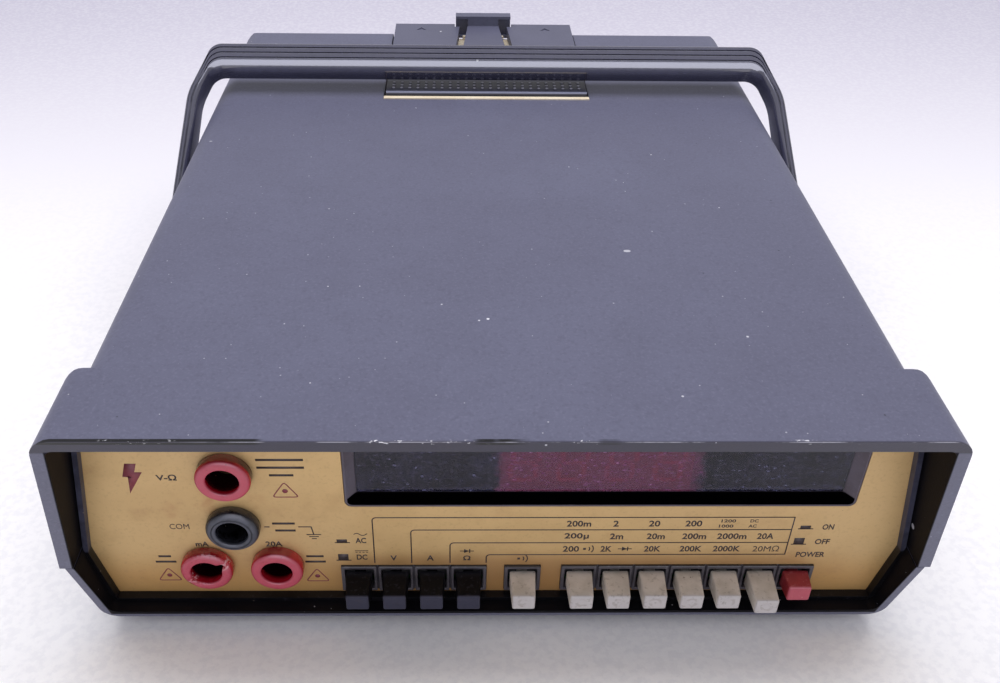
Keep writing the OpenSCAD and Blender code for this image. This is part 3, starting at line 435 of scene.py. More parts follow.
def handle_plastic():
    """Handle: smooth dark plastic with a glossy skin."""
    f = Finish("handle_plastic", rgb(58, 58, 80), 0.17)
    f.blotch(25, rgb(64, 64, 88), 0.5, seed=1)
    f.blotch(3, rgb(52, 52, 72), 0.35, seed=2)
    f.layer(f.spots(6, 0.5, 0.4, seed=3), rgb(150, 150, 160), 0.8)
    f.grain(1.1, 0.006).grain(8, 0.03, seed=1)
    f.roughen(f.noise(14, 3, seed=4), 0.12)
    return f.done(Specular_IOR_Level=0.5, Coat_Weight=1.0, Coat_IOR=1.85, Coat_Roughness=0.12)


def tray_plastic():
    f = Finish("tray_plastic", rgb(232, 220, 196), 0.5)
    f.blotch(12, rgb(214, 196, 166), 0.5, seed=1)
    f.blotch(1.2, rgb(190, 172, 146), 0.35, seed=2, low=0.55, high=0.7)
    f.grain(0.6, 0.015)
    return f.done()


def board_mask():
    """Circuit boards: green mask over a net of copper tracks, with solder joints."""
    f = Finish("board_mask", rgb(24, 74, 42), 0.35)
    tracks = f.put(
        "ShaderNodeTexBrick", {"Vector": f.placed(9.0), "Scale": 1.0, "Mortar Size": 0.05}).outputs["Fac"]
    f.layer(tracks, rgb(44, 112, 58), 0.8)
    f.blotch(14, rgb(18, 58, 34), 0.5, seed=1)
    f.layer(f.spots(3.5, 0.8, 0.5, seed=2), rgb(190, 184, 170), 0.9)
    f.raise_by(tracks, 0.05)
    return f.done()


def plain(name, colour, rough, second, size, metal=0.0, glow=0.0):
    """A smaller part's finish: two mottled tones, fine grain and a few specks."""
    f = Finish(name, colour, rough)
    f.blotch(size, second, 0.6, seed=1)
    f.blotch(size * 0.2, second, 0.35, seed=2, low=0.5, high=0.68)
    f.layer(f.spots(size * 1.5, size * 0.12, 0.4, seed=3), second)
    f.roughen(f.noise(size, 3, seed=4), 0.12)
    f.grain(size * 0.25, 0.01)
    if glow:
        return f.done(Emission_Color=colour, Emission_Strength=glow)
    return f.done(Metallic=metal)


def make_materials():
    paint = {
        "upper": shell_paint("shell_upper_paint", 104.2, 0.1317, CASE_TOP, 20.0, 77.2),
        "lower": shell_paint("shell_lower_paint", 110.8, -0.188, 28.5, 5.2, 40.0),
        "cover": cover_paint(),
        "gold": panel_lacquer(),
        "frame": frame_plastic(),
        "bezel": bezel_plastic(),
        "window": window_smoke(),
        "jack_red": jack_red("jack_red", False),
        "jack_red_chewed": jack_red("jack_red_chewed", True),
        "jack_black": jack_black(),
        "button_frame": frames_plastic(),
        "handle": handle_plastic(),
        "tray": tray_plastic(),
        "board": board_mask(),
    }
    # Caps: colour, shade, dirt (also the back's painted shade), roughness, face colour, its share, gloss
    caps = {
        "cap_grey": (rgb(212, 205, 197), rgb(178, 170, 158), rgb(96, 84, 68), 0.5,
                     rgb(196, 191, 193), 0.75, 0.4),
        "cap_black": (rgb(4, 4, 8), rgb(10, 10, 15), rgb(58, 58, 68), 0.4,
                      rgb(66, 66, 82), 0.85, 0.08),
        "cap_red": (rgb(150, 36, 44), rgb(124, 26, 34), rgb(200, 120, 124), 0.4,
                    rgb(196, 92, 108), 0.8, 0.4),
    }
    for key, values in caps.items():
        paint[key] = cap_plastic(key, *values)
    # Smaller parts: name, colour, roughness, second tone, size of its blotches
    smaller = {
        "print": ("panel_ink", rgb(40, 26, 28), 0.55, rgb(62, 44, 38), 2.0),
        "print_red": ("panel_ink_red", rgb(122, 34, 52), 0.55, rgb(140, 60, 66), 2.0),
        "rubber": ("foot_rubber", rgb(26, 26, 28), 0.8, rgb(44, 43, 44), 1.5),
        "chip": ("chip_resin", rgb(30, 30, 33), 0.6, rgb(44, 44, 48), 0.8),
        "sleeve": ("capacitor_sleeve", rgb(34, 54, 110), 0.35, rgb(26, 40, 84), 3.0),
        "lead": ("lead_insulation", rgb(168, 42, 40), 0.45, rgb(130, 30, 30), 2.0),
        "fuse_glass": ("fuse_glass", rgb(214, 226, 220), 0.08, rgb(190, 200, 190), 3.0),
        "buzzer": ("buzzer_shell", rgb(24, 24, 26), 0.45, rgb(40, 38, 38), 2.0),
        "holder": ("holder_plastic", rgb(38, 38, 42), 0.45, rgb(56, 56, 60), 2.0),
        "switch": ("switch_resin", rgb(36, 35, 39), 0.5, rgb(26, 25, 28), 3.0),
        "nylon": ("washer_nylon", rgb(212, 212, 204), 0.5, rgb(188, 186, 176), 1.5),
    }
    for key, values in smaller.items():
        paint[key] = plain(*values)
    # Metals: the same, and how metallic they are
    metals = {
        "steel": ("bright_steel", rgb(178, 178, 182), 0.3, rgb(130, 126, 120), 1.2, 1.0),
        "dark_steel": ("black_steel", rgb(48, 48, 52), 0.4, rgb(28, 28, 30), 1.5, 0.8),
        "brass": ("plated_brass", rgb(62, 52, 34), 0.5, rgb(40, 33, 22), 1.5, 1.0),
        "alloy": ("bare_alloy", rgb(170, 166, 158), 0.35, rgb(120, 112, 100), 2.5, 1.0),
        "cell": ("cell_jacket", rgb(40, 62, 58), 0.3, rgb(28, 44, 42), 4.0, 0.4),
    }
    for key, (*values, metal) in metals.items():
        paint[key] = plain(*values, metal=metal)
    # Figures of the switched-off display, painted with a faint glow
    paint["segment"] = plain("glowing_digit_segment", rgb(255, 70, 80), 0.5, rgb(240, 50, 60), 1.5, glow=0.3)
    paint["digit"] = plain("glowing_digit_body", rgb(225, 30, 60), 0.45, rgb(200, 26, 50), 4.0, glow=0.1)
    return paint


# ---- CAD nodes: weld, round and paint ----

def smoothing_group():
    """Joins the faces of a CAD mesh and shades it smooth between its sharp edges."""
    group = bpy.data.node_groups.new("join_and_smooth", "GeometryNodeTree")
    group.interface.new_socket("Geometry", in_out="INPUT", socket_type="NodeSocketGeometry")
    group.interface.new_socket("Geometry", in_out="OUTPUT", socket_type="NodeSocketGeometry")
    put = group.nodes.new
    start, end = put("NodeGroupInput"), put("NodeGroupOutput")
    merge = put("GeometryNodeMergeByDistance")
    merge.inputs["Distance"].default_value = 0.002 * MM
    clear = put("GeometryNodeRemoveAttribute")
    clear.inputs["Name"].default_value = "custom_normal"
    faces = put("GeometryNodeSetShadeSmooth")
    faces.domain = "FACE"
    angle = put("GeometryNodeInputMeshEdgeAngle")
    blunt = put("FunctionNodeCompare")
    blunt.operation = "LESS_THAN"
    blunt.inputs[1].default_value = math.radians(28)
    edges = put("GeometryNodeSetShadeSmooth")
    edges.domain = "EDGE"
    link = group.links.new
    link(start.outputs[0], merge.inputs["Geometry"])
    link(merge.outputs[0], clear.inputs["Geometry"])
    link(clear.outputs[0], faces.inputs["Geometry"])
    link(faces.outputs[0], edges.inputs["Geometry"])
    link(angle.outputs["Unsigned Angle"], blunt.inputs[0])
    link(blunt.outputs[0], edges.inputs["Shade Smooth"])
    link(edges.outputs[0], end.inputs[0])
    return group


def dress(node, material, width):
    """Paints a CAD node, joins its split faces and rounds its sharp edges by that width."""
    ob = frame["nodes"][node]
    ob.data.materials.clear()
    ob.data.materials.append(material)
    join = ob.modifiers.new("join", "NODES")
    join.node_group = SMOOTHING
    if width:
        bevel = ob.modifiers.new("round", "BEVEL")
        bevel.width = width * MM
        bevel.segments = 2
        bevel.limit_method = "ANGLE"
        bevel.angle_limit = math.radians(32)
        bevel.miter_outer = "MITER_ARC"
        weights = ob.modifiers.new("weights", "WEIGHTED_NORMAL")
        weights.keep_sharp = False
        weights.weight = 100


# ---- pieces built here ----

def body_of(node):
    bodies = frame["record"]["behaviour"]["bodies"]
    return next(name for name, members in bodies.items() if node in members)


def add_piece(name, verts, faces, material, body, origin=None, sharp=35):
    """A new mesh object, its points in millimetres from origin, or from the script's own zero."""
    mesh = bpy.data.meshes.new(name)
    if origin is None:
        mesh.from_pydata([point(*v) for v in verts], [], faces)
    else:
        mesh.from_pydata([Vector(v) * MM for v in verts], [], faces)
    work = bmesh.new()
    work.from_mesh(mesh)
    bmesh.ops.remove_doubles(work, verts=work.verts, dist=0.001 * MM)
    bmesh.ops.recalc_face_normals(work, faces=work.faces)
    work.to_mesh(mesh)
    work.free()
    mesh.polygons.foreach_set("use_smooth", [True] * len(mesh.polygons))
    mesh.set_sharp_from_angle(angle=math.radians(sharp))
    mesh.materials.append(material)
    ob = bpy.data.objects.new(name, mesh)
    bpy.context.scene.collection.objects.link(ob)
    if origin is not None:
        ob.location = point(*origin)
    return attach(ob, body)


def loft(rings, closed=False):
    """Faces between rings of equal length; the ends are capped or, if closed, joined."""
    n = len(rings[0])
    verts = [p for ring in rings for p in ring]
    faces = []
    pairs = [(k, k + 1) for k in range(len(rings) - 1)]
    if closed:
        pairs.append((len(rings) - 1, 0))
    for a, b in pairs:
        for i in range(n):
            j = (i + 1) % n
            faces.append((a * n + i, a * n + j, b * n + j, b * n + i))
    if not closed:
        faces.append(tuple(range(n - 1, -1, -1)))
        faces.append(tuple((len(rings) - 1) * n + i for i in range(n)))
    return verts, faces


def rounded_rectangle(half_w, half_h, radius):
    """Points of a rounded rectangle, going round once."""
    steps = 5
    points = []
    for quarter in range(4):
        cx = (half_w - radius) * (1 if quarter in (0, 3) else -1)
        cz = (half_h - radius) * (1 if quarter in (0, 1) else -1)
        for k in range(steps + 1):
            a = math.radians(90 * quarter + 90 * k / steps)
            points.append((cx + radius * math.cos(a), cz + radius * math.sin(a)))
    return points


def build_button(node, material):
    """Push button: a tapered cap with rounded edges and a dished face, on its plunger."""
    low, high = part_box(node)
    middle_x = (low.x + high.x) / 2 / MM
    middle_z = (low.z + high.z) / 2 / MM
    front = (low.y - FRONT_Y) / MM
    reach = 18.4 - front
    end = (high.y - FRONT_Y) / MM - front
    back_w, back_h, front_w, front_h = 3.55, 2.75, 3.05, 2.61
    corner_r = 0.45

    def section(depth, inset, scale=1.0):
        t = depth / reach
        w = (front_w + (back_w - front_w) * t - inset) * scale
        h = (front_h + (back_h - front_h) * t - inset) * scale
        r = max(corner_r - inset * 0.5, 0.2) * scale
        return [(x, depth, z) for x, z in rounded_rectangle(w, h, r)]

    rings = []
    for scale, sink in ((0.02, 0.22), (0.3, 0.2), (0.55, 0.14), (0.78, 0.06), (0.93, 0.01)):
        rings.append([(x, sink, z) for x, _, z in section(0, 0.42, scale)])
    rings += [section(0, 0.4), section(0.06, 0.2), section(0.2, 0.06), section(0.42, 0)]
    rings += [section(reach * t, 0) for t in (0.3, 0.6, 0.85)]
    rings += [section(reach - 0.25, 0), section(reach, 0.15)]
    plunger = rounded_rectangle(1.4, 1.4, 0.2)
    rings += [[(x, y, z) for x, z in plunger] for y in (reach, end - 0.3)]
    rings.append([(x * 0.85, end, z * 0.85) for x, z in plunger])
    verts, faces = loft(rings)
    ob = add_piece(node + "_cap", verts, faces, material, body_of(node), (middle_x, front, middle_z))
    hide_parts(node)
    return ob


def chew(r, depth, turn):
    """Moves a point of a jack's ring into two bites, where a tool has slipped across the slot."""
    bite = 0.0
    for degrees, width in ((28, 0.2), (222, 0.26)):
        away = (turn - math.radians(degrees) + math.pi) % math.tau - math.pi
        bite = max(bite, math.exp(-(away / width) ** 2))
    ragged = noise.noise(Vector((r * 1.7, turn * 5.0, depth))) * 0.5
    fade = max(0.0, 1 - depth / 3.2)
    r += bite * (1.5 + ragged) * fade * max(0.0, 1 - (r - HOLE_R) / 2.2)
    depth += bite * (1.3 + ragged) * fade * max(0.0, 1 - (r - HOLE_R) / 3.0)
    return r, depth


def build_jack(node, material, barrel_r, soft=1.2, chewed=False):
    """Jack insulator turned round its own axis: rounded ring, deep plug hole and barrel."""
    low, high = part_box(node)
    middle_x = (low.x + high.x) / 2 / MM
    middle_z = (low.z + high.z) / 2 / MM
    front = (low.y - FRONT_Y) / MM
    end = (high.y - FRONT_Y) / MM - front
    back = PANEL_Y - front - (0.3 if chewed else 0.0)
    seat_start, rim_r = 14.5, 0.45
    profile = [(SEAT_R, end), (SEAT_R, seat_start), (HOLE_R, seat_start)]
    profile += [(HOLE_R, 3), (HOLE_R, 1.4), (HOLE_R, 0.7)]
    profile += [(HOLE_R + rim_r * (1 - math.cos(a)), rim_r * (1 - math.sin(a)))
                for a in (0.4, 0.9, math.pi / 2)]
    profile += [(5.0, 0.0), (5.4, 0.0), (RING_R - soft, 0.0)]
    profile += [(RING_R - soft + soft * math.sin(a), soft * (1 - math.cos(a)))
                for a in (0.25, 0.5, 0.8, 1.1, 1.35, math.pi / 2)]
    profile += [(RING_R, back - 0.25), (RING_R - 0.2, back), (barrel_r, back), (barrel_r, end)]
    count = 128
    rings = []
    for i in range(count):
        turn = math.tau * i / count
        ring = []
        for r, depth in profile:
            if chewed and depth < 3.2 and r < RING_R - 0.2:
                r, depth = chew(r, depth, turn)
            ring.append((r * math.cos(turn), depth, r * math.sin(turn)))
        rings.append(ring)
    verts, faces = loft(rings, closed=True)
    origin = (middle_x, front, middle_z)
    ob = add_piece(node + "_body", verts, faces, material, body_of(node), origin, sharp=50)
    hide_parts(node)
    return ob


def rounded_corner(before, corner, after, radius, steps):
    """Points of the arc that rounds a corner."""
    p = Vector(corner)
    u = (Vector(before) - p).normalized()
    v = (Vector(after) - p).normalized()
    half = math.acos(max(-1.0, min(1.0, u.dot(v)))) / 2
    centre = p + (u + v).normalized() * radius / math.sin(half)
    start = p + u * radius / math.tan(half) - centre
    end = p + v * radius / math.tan(half) - centre
    sweep = start.angle(end)
    turn = math.copysign(sweep, start.x * end.y - start.y * end.x)
    return [centre + Matrix.Rotation(turn * k / steps, 2) @ start for k in range(steps + 1)]


def pivot_disc(sign):
    """Disc at the foot of an arm, turned round the pivot, with a well for its screw."""
    bore_r, well_r = 4.06, 7.3
    inner, floor = PIVOT_HALF - ARM_T, PIVOT_HALF - 1.9
    profile = [(inner, bore_r), (floor, bore_r), (floor, well_r), (PIVOT_HALF - 0.3, well_r),
               (PIVOT_HALF, well_r + 0.3), (PIVOT_HALF, DISC_R - 1.0), (PIVOT_HALF - 0.3, DISC_R - 0.3),
               (PIVOT_HALF - 1.0, DISC_R), (inner + 0.6, DISC_R), (inner, DISC_R - 0.6)]
    turns = []
    for i in range(72):
        c, s = math.cos(math.tau * i / 72), math.sin(math.tau * i / 72)
        turns.append([(sign * x, PIVOT_Y + r * c, PIVOT_Z + r * s) for x, r in profile])
    return loft(turns, closed=True)


def handle_section(depth, height):
    """Points round the handle's section: depth across the arm or grip, height above the pivot."""
    top = HANDLE_W / 2
    share = min(1.0, max(0.0, (height - 16) / (BEND_Y - 13)))
    bottom = -top + (HANDLE_W - GRIP_W) * share
    wide = min(1.0, max(0.0, (depth - ARM_T) / (GRIP_OUTER - GRIP_INNER - ARM_T)))
    outer_r, inner_r, low_r = 1.1, 2.3 + 1.6 * wide, 1.2 + 0.8 * wide
    corners = [(0, top, outer_r, 180), (depth, top, inner_r, 90), (depth, bottom, low_r, 0),
               (0, bottom, outer_r, -90)]
    ring = []
    for d, z, r, first in corners:
        cd = d + r if d == 0 else d - r
        cz = z - r if z == top else z + r
        for k in range(7):
            a = math.radians(first - 15 * k)
            ring.append((cd + r * math.cos(a), cz + r * math.sin(a)))
        if first == 180:
            # Grooves along the top of the grip, which run out on the arms
            cut = 0.55 * wide
            for place in (0.196, 0.397, 0.598):
                for step, sink in ((-0.35, 0), (-0.2, cut), (0.2, cut), (0.35, 0)):
                    ring.append((place * depth + step * wide, z - sink))
    return ring


def build_handle():
    """Carrying handle: one rounded section swept up an arm, along the grip and down the other arm."""
    tilt = math.radians(HANDLE_ANGLE)
    bend_half = PIVOT_HALF - ARM_LEAN * BEND_Y
    out = [(PIVOT_HALF, 0), (bend_half, BEND_Y), (CORNER_HALF, GRIP_OUTER), (0, GRIP_OUTER)]
    inn = [(PIVOT_HALF - ARM_T, 0), (bend_half - ARM_T, BEND_Y - 1.3),
           (INNER_CORNER_HALF, GRIP_INNER), (0, GRIP_INNER)]

    def side(points, bend_r, corner_r):
        path = [Vector(points[0]).lerp(Vector(points[1]), t) for t in (0.06, 0.3, 0.55)]
        path += rounded_corner(points[0], points[1], points[2], bend_r, 6)
        path += rounded_corner(points[1], points[2], points[3], corner_r, 10)
        last = path[-1]
        path += [last.lerp(Vector(points[3]), t) for t in (0.15, 0.5)]
        return path

    def mirror(v):
        return Vector((-v.x, v.y))

    stations = list(zip(side(out, 25, 5), side(inn, 25, 6)))
    stations += [(mirror(a), mirror(b)) for a, b in reversed(stations)]
    rings = []
    for a, b in stations:
        across = b - a
        depth = across.length
        across.normalize()
        ring = []
        for d, z in handle_section(depth, a.y):
            flat = a + across * d
            y = flat.y * math.cos(tilt) - z * math.sin(tilt)
            up = flat.y * math.sin(tilt) + z * math.cos(tilt)
            ring.append((flat.x, PIVOT_Y + y, PIVOT_Z + up))
        rings.append(ring)
    verts, faces = loft(rings)
    for sign in (-1, 1):
        more, more_faces = pivot_disc(sign)
        start = len(verts)
        verts += more
        faces += [tuple(start + k for k in face) for face in more_faces]
    ob = add_piece("handle_bar", verts, faces, PAINT["handle"], "handle", sharp=40)
    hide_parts("handle")
    return ob


class Artwork:
    """Flat shapes on an upright plane, gathered into one thin mesh."""

    def __init__(self, y):
        self.y = y
        self.dx = 0.0
        self.verts, self.faces = [], []

    def shape(self, points):
        start = len(self.verts)
        self.verts += [(x + self.dx, self.y, z) for x, z in points]
        self.faces.append(tuple(range(start, start + len(points))))

    def bar(self, x, z, width, height):
        w, h = width / 2, height / 2
        self.shape([(x - w, z - h), (x + w, z - h), (x + w, z + h), (x - w, z + h)])

    def line(self, points, width=0.33, closed=False):
        """A stroke of even width along a polyline."""
        n = len(points)
        sides = []
        for i, (x, z) in enumerate(points):
            before = points[i - 1] if i or closed else points[i]
            after = points[(i + 1) % n] if i < n - 1 or closed else points[i]
            d1 = Vector((x - before[0], z - before[1]))
            d2 = Vector((after[0] - x, after[1] - z))
            d1 = d1.normalized() if d1.length else d2.normalized()
            d2 = d2.normalized() if d2.length else d1
            middle = (d1 + d2).normalized()
            stretch = width / 2 / max(0.5, middle.dot(d1))
            sides.append((Vector((x, z)), Vector((-middle.y, middle.x)) * stretch))
        start = len(self.verts)
        for p, side in sides:
            self.verts += [(p.x + self.dx + side.x, self.y, p.y + side.y),
                           (p.x + self.dx - side.x, self.y, p.y - side.y)]
        for i in range(n if closed else n - 1):
            a, b = start + 2 * i, start + 2 * ((i + 1) % n)
            self.faces.append((a, a + 1, b + 1, b))

    def words(self, text, x, z, width, height):
        """Upright figures or unit letters, fitted to a box with its middle at (x, z)."""
        curve = bpy.data.curves.new("figures", "FONT")
        curve.body = text
        # Bolder strokes, but not where they would fill an M
        curve.offset = 0.0 if "M" in text else 0.022
        curve.resolution_u = 3
        ob = bpy.data.objects.new("figures", curve)
        bpy.context.scene.collection.objects.link(ob)
        bpy.context.view_layer.update()
        made = ob.evaluated_get(bpy.context.evaluated_depsgraph_get()).to_mesh()
        xs = [v.co.x for v in made.vertices]
        ys = [v.co.y for v in made.vertices]
        start = len(self.verts)
        for v in made.vertices:
            across = (v.co.x - min(xs)) / (max(xs) - min(xs)) - 0.5
            up = (v.co.y - min(ys)) / (max(ys) - min(ys)) - 0.5
            self.verts.append((x + self.dx + across * width, self.y, z + up * height))
        self.faces += [tuple(start + k for k in p.vertices) for p in made.polygons]
        bpy.data.objects.remove(ob)
        bpy.data.curves.remove(curve)

    def finish(self, name, material, thickness=0.04):
        ob = add_piece(name, self.verts, self.faces, material, "case")
        solid = ob.modifiers.new("thickness", "SOLIDIFY")
        solid.thickness = thickness * MM
        solid.offset = 0


def arc(x, z, radius, start, end, steps=8):
    angles = [math.radians(start + (end - start) * k / steps) for k in range(steps + 1)]
    return [(x + radius * math.cos(a), z + radius * math.sin(a)) for a in angles]


def sound_mark(art, x, z):
    art.bar(x - 1.3, z, 0.75, 0.75)
    art.line(arc(x - 1.1, z, 1.2, -38, 38), 0.32)
    art.line(arc(x - 1.1, z, 2.2, -38, 38), 0.32)


def diode_mark(art, x, z):
    art.line([(x - 1.9, z), (x + 1.9, z)], 0.25)
    art.shape([(x - 0.8, z - 0.75), (x + 0.6, z), (x - 0.8, z + 0.75)])
    art.bar(x + 0.75, z, 0.32, 1.5)


def push_mark(art, x, z, out):
    height = 2.5 if out else 1.25
    art.bar(x, z - height / 2, 4.1, 0.32)
    art.bar(x - 0.1, z, 2.8, height)


def caution_mark(art, x, z, size=1.0):
    """A plain triangle with a dot in it."""
    w, h = 3.4 * size, 2.7 * size
    corners = [(x - w, z - h), (x + w, z - h), (x, z + h)]
    outline = []
    for i, corner in enumerate(corners):
        before, after = Vector(corners[i - 1]), Vector(corners[(i + 1) % 3])
        here = Vector(corner)
        first = here + (before - here).normalized() * 0.9
        last = here + (after - here).normalized() * 0.9
        for t in (0, 0.33, 0.67, 1):
            a, b = first.lerp(here, t), here.lerp(last, t)
            outline.append(tuple(a.lerp(b, t)))
    art.line(outline, 0.3, closed=True)
    art.shape(arc(x, z - 0.5 * size, 0.75 * size, 0, 330, 11))


def print_panel():
    art = Artwork(PRINT_Y)
    # Letters and figures: text, x, z, width, height
    for label in (("V-Ω", -84.9, 52.4, 5.2, 2.1), ("COM", -84.4, 34.2, 5.2, 2.0),
                  ("mA", -79.4, 27.3, 3.5, 1.9), ("20A", -60.1, 27.3, 4.5, 2.0)):
        art.words(*label)
    # Ratings of the sockets, as plain bars
    for x, z, width in ((-55.6, 58.6, 12.0), (-55.6, 55.9, 12.0), (-55.6, 53.2, 6.2),
                        (-56.8, 35.3, 6.0), (-56.5, 32.6, 5.4), (-90.2, 22.4, 3.4), (-90.2, 20.2, 5.6),
                        (-49.5, 22.3, 4.7), (-49.5, 20.1, 5.6)):
        art.bar(x, z, width, 0.75)
    # Line from the common socket to the earth mark
    art.line([(-62.0, 34.0), (-60.6, 34.0)])
    art.line([(-53.0, 34.0), (-49.6, 34.0), (-49.1, 31.0)])
    for k in range(3):
        art.bar(-49.1, 31.0 - 0.8 * k, 3.9 - 1.3 * k, 0.3)
    # Everything right of the jacks
    art.dx = 0.9
    labels = [
        ("V", -29, 21.5, 1.8, 2.1), ("A", -19, 21.5, 1.9, 2.1), ("Ω", -9, 21.5, 2.0, 1.9),
        ("AC", -37.6, 28.6, 2.9, 2.1), ("DC", -37.6, 21.9, 2.9, 2.1),
        ("ON", 87.9, 33.7, 3.1, 2.1), ("OFF", 87.5, 27.9, 4.0, 2.1), ("POWER", 85.3, 22.7, 7.9, 2.1),
    ]
    rows = [
        (35.1, [("200m", 20.8, 6.5), ("2", 30.7, 1.45), ("20", 41, 3.0), ("200", 51.5, 4.5)]),
        (30.1, [("200µ", 20.5, 6.6), ("2m", 31.3, 3.6), ("20m", 41.9, 4.9), ("200m", 52.3, 6.5),
                ("2000m", 62.5, 8.0), ("20A", 71.6, 4.5)]),
        (25.1, [("200", 19.3, 4.4), ("2K", 28.9, 3.0), ("20K", 41.5, 4.5), ("200K", 52, 6.0),
                ("2000K", 61.8, 7.4), ("20MΩ", 72.6, 7.2)]),
    ]
    for z, items in rows:
        labels += [(text, x, z, width, 2.3 if "µ" not in text else 2.6) for text, x, width in items]
    labels += [("1200", 60.7, 36.1, 3.9, 1.15), ("1000", 60.3, 34.1, 3.9, 1.15),
               ("DC", 67.6, 36.1, 2.2, 1.15), ("AC", 67.4, 34.1, 2.2, 1.15)]
    for text, x, z, width, height in labels:
        art.words(text, x, z, width, height)
    sound_mark(art, 24.3, 25.1)
    sound_mark(art, 6.5, 21.2)
    diode_mark(art, 34.0, 25.1)
    diode_mark(art, -9, 24.3)
    push_mark(art, -42.6, 28.4, False)
    push_mark(art, -42.6, 21.9, True)
    push_mark(art, 81.9, 33.6, False)
    push_mark(art, 81.2, 28.1, True)
    # Wave and dashes over the current letters
    art.line([(-39.4 + 0.4 * k, 31.0 + 0.45 * math.sin(k * 0.78)) for k in range(10)], 0.25)
    art.bar(-37.6, 24.5, 3.6, 0.22)
    for k in range(4):
        art.bar(-39.0 + 0.95 * k, 23.9, 0.6, 0.22)
    # Lines from the function buttons to their rows of ranges
    for x, z in ((-34.2, 37.5), (-24.1, 32.7), (-13.6, 27.6), (-3.7, 22.8)):
        art.line([(x, 19.5)] + arc(x + 1.1, z - 1.1, 1.1, 180, 90, 5) + [(78.2, z)])
    art.line([(78.2, 37.63), (78.2, 22.67)])
    art.finish("panel_print", PAINT["print"])

    red = Artwork(PRINT_Y)
    for x, z, size in ((-55.2, 48.0, 1.0), (-90.1, 15.1, 0.95), (-49.4, 14.6, 0.95)):
        caution_mark(red, x, z, size)
    # Plain zigzag flash
    x, z = -93.6, 52.1
    red.shape([(x - 1.0, z + 5.2), (x + 1.9, z + 5.2), (x + 1.0, z + 2.2), (x - 2.3, z + 0.6)])
    red.shape([(x - 2.3, z + 0.6), (x + 1.0, z + 2.2), (x + 2.9, z + 2.2), (x + 0.4, z + 0.2)])
    red.shape([(x - 1.4, z - 5.4), (x + 2.9, z + 2.2), (x + 0.4, z + 0.2), (x - 0.9, z + 0.9)])
    red.finish("panel_marks", PAINT["print_red"])


def build_segments():
    """Seven-segment figures of the switched-off display on the fronts of the four digits; their finish is
    painted with a faint glow.
    """
    low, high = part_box("led_digits")
    art = Artwork((low.y - FRONT_Y) / MM - MARK_LIFT)
    pitch = (high.x - low.x + 0.2 * MM) / 4 / MM
    first = low.x / MM + pitch / 2 - 0.1
    middle = (low.z + high.z) / 2 / MM
    half_w, half_h, t = 3.3, 6.2, 0.65

    def bar(cx, cz, dx, dz, length):
        ends = [(-length, 0), (-length + t, t), (length - t, t),
                (length, 0), (length - t, -t), (-length + t, -t)]
        art.shape([(cx + u * dx - v * dz + (cz - middle) * 0.12, cz + u * dz + v * dx) for u, v in ends])

    for i in range(4):
        x = first + pitch * i
        for z in (-half_h, 0, half_h):
            bar(x, middle + z, 1, 0, half_w - 0.2)
        for side in (-1, 1):
            for z in (-half_h / 2, half_h / 2):
                bar(x + side * half_w, middle + z, 0, 1, half_h / 2 - 0.2)
    art.finish("digit_segments", PAINT["segment"], 0.03)


# ---- build ----

SMOOTHING = smoothing_group()
PAINT = make_materials()

# CAD nodes: paint, and the width in millimetres to which sharp edges are rounded
DRESSED = {
    "upper_shell": ("upper", 0.35),
    "lower_shell": ("lower", 0.35),
    "panel_frame": ("frame", 0.3),
    "front_panel": ("gold", 0),
    "display_bezel": ("bezel", 0.25),
    "display_window": ("window", 0),
    "display_board": ("board", 0),
    "led_digits": ("digit", 0.2),
    "main_board": ("board", 0),
    "integrated_circuits": ("chip", 0.2),
    "capacitors": ("sleeve", 0.3),
    "buzzer": ("buzzer", 0.3),
    "current_shunt": ("alloy", 0),
    "board_screws": ("steel", 0.1),
    "internal_leads": ("lead", 0),
    "jack_sockets": ("brass", 0),
    "jack_nuts": ("steel", 0.1),
    "milliamps_socket": ("brass", 0),
    "fuse_tube": ("fuse_glass", 0),
    "fuse_caps": ("steel", 0),
    "fuse_holder": ("holder", 0.2),
    "button_frames": ("button_frame", 0.25),
    "switch_bodies": ("switch", 0.3),
    "battery_tray": ("tray", 0.2),
    "battery_cells": ("cell", 0.3),
    "battery_contacts": ("steel", 0),
    "battery_cover": ("cover", 0.3),
    "cover_latch": ("cover", 0.3),
    "handle_screws": ("dark_steel", 0.25),
    "handle_washers": ("nylon", 0.1),
    "dc_inlet": ("holder", 0.2),
    "rubber_feet": ("rubber", 0.4),
    "case_screws": ("dark_steel", 0.1),
}
for name, (key, width) in DRESSED.items():
    dress(name, PAINT[key], width)
build_handle()

for name in ("ac_dc", "volts", "amps", "ohms"):
    build_button("button_" + name, PAINT["cap_black"])
for name in ("continuity", "range_1", "range_2", "range_3", "range_4", "range_5", "range_6"):
    build_button("button_" + name, PAINT["cap_grey"])
build_button("button_power", PAINT["cap_red"])
build_jack("jack_volts_ohms", PAINT["jack_red"], 5.6)
build_jack("jack_common", PAINT["jack_black"], 5.6, 1.9)
build_jack("jack_twenty_amps", PAINT["jack_red"], 5.6)
build_jack("jack_milliamps", PAINT["jack_red_chewed"], 5.2, 1.5, chewed=True)
print_panel()
build_segments()

# ---- floor, light and camera ----

f = Finish("floor_sheet", rgb(255, 254, 255), 0.7)
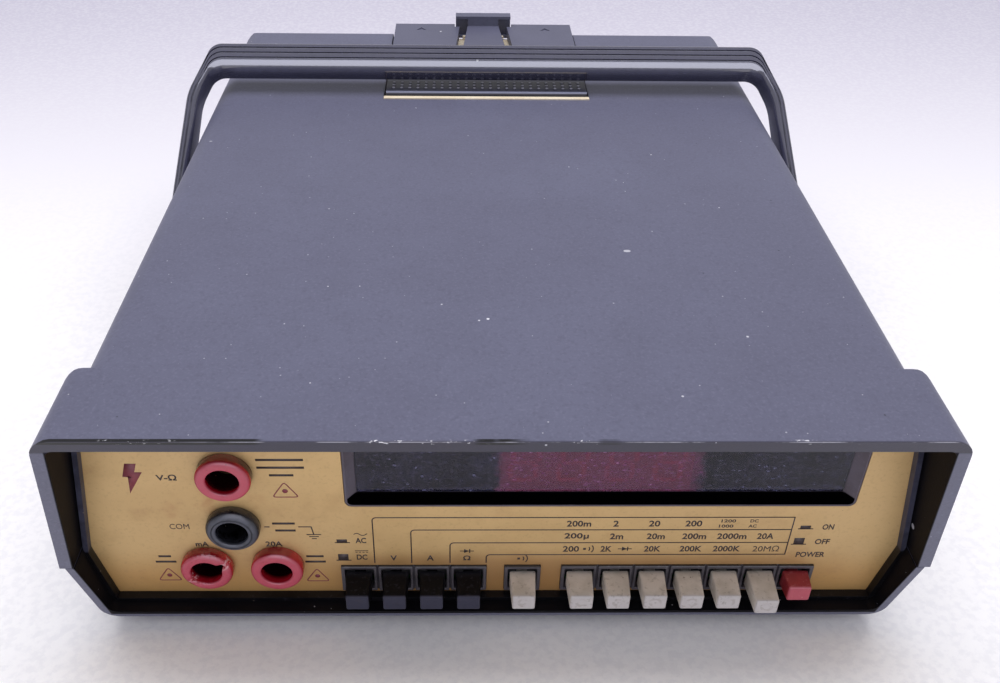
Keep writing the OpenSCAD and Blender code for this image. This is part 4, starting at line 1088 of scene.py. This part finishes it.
# Painted shade: the sheet darkens towards the back, where less light reaches it
f.layer(f.band(f.y, 20.0, 560.0), rgb(196, 193, 208))
f.blotch(2.2, rgb(226, 226, 232), 0.3, seed=1)
f.grain(1.6, 0.05)
half = 3.0
corners = [(-half, -half, 0), (half, -half, 0), (half, half, 0), (-half, half, 0)]
mesh = bpy.data.meshes.new("floor")
mesh.from_pydata(corners, [], [(0, 1, 2, 3)])
mesh.materials.append(f.done())
floor = bpy.data.objects.new("floor", mesh)
bpy.context.scene.collection.objects.link(floor)

world = bpy.data.worlds.new("studio")
world.use_nodes = True
world.node_tree.nodes["Background"].inputs["Color"].default_value = (0.96, 0.95, 1.0, 1.0)
world.node_tree.nodes["Background"].inputs["Strength"].default_value = 0.58
bpy.context.scene.world = world


def add_light(name, place, target, width, depth, watts, colour):
    data = bpy.data.lights.new(name, "AREA")
    data.shape = "RECTANGLE"
    data.size, data.size_y = width, depth
    data.energy = watts
    data.color = colour
    ob = bpy.data.objects.new(name, data)
    ob.location = place
    ob.rotation_euler = (Vector(target) - Vector(place)).to_track_quat("-Z", "Y").to_euler()
    bpy.context.scene.collection.objects.link(ob)
    return ob


# Overhead light, kept out of reflections
overhead = add_light("overhead", (0.0, 0.14, 0.95), (0, 0.14, 0), 1.5, 0.5, 9.0, (1.0, 0.985, 1.0))
overhead.visible_glossy = False
# Tall panel in front, seen only in reflections
sheen = add_light("front_sheen", (0.05, -1.0, 0.84), (0, 0.06, 0.09), 1.6, 1.6, 27, (0.84, 0.85, 1.0))
sheen.visible_diffuse = False
sheen.visible_camera = False

yaw, pitch, roll = math.radians(1.198), math.radians(34.875), math.radians(0.848)
ahead = Vector((math.sin(yaw) * math.cos(pitch), math.cos(yaw) * math.cos(pitch), -math.sin(pitch)))
level = Vector((math.cos(yaw), -math.sin(yaw), 0))
above = level.cross(ahead)
right = level * math.cos(roll) + above * math.sin(roll)
up = above * math.cos(roll) - level * math.sin(roll)
data = bpy.data.cameras.new("camera")
data.sensor_width = 36
data.lens = 35.64
data.shift_x, data.shift_y = 0.0251, -0.0511
data.clip_start, data.clip_end = 0.01, 20
camera = bpy.data.objects.new("camera", data)
camera.matrix_world = Matrix((right, up, -ahead)).transposed().to_4x4()
camera.location = point(-10.755, -161.348, 236.502)
bpy.context.scene.collection.objects.link(camera)
bpy.context.scene.camera = camera
bpy.context.scene.view_settings.view_transform = "Standard"
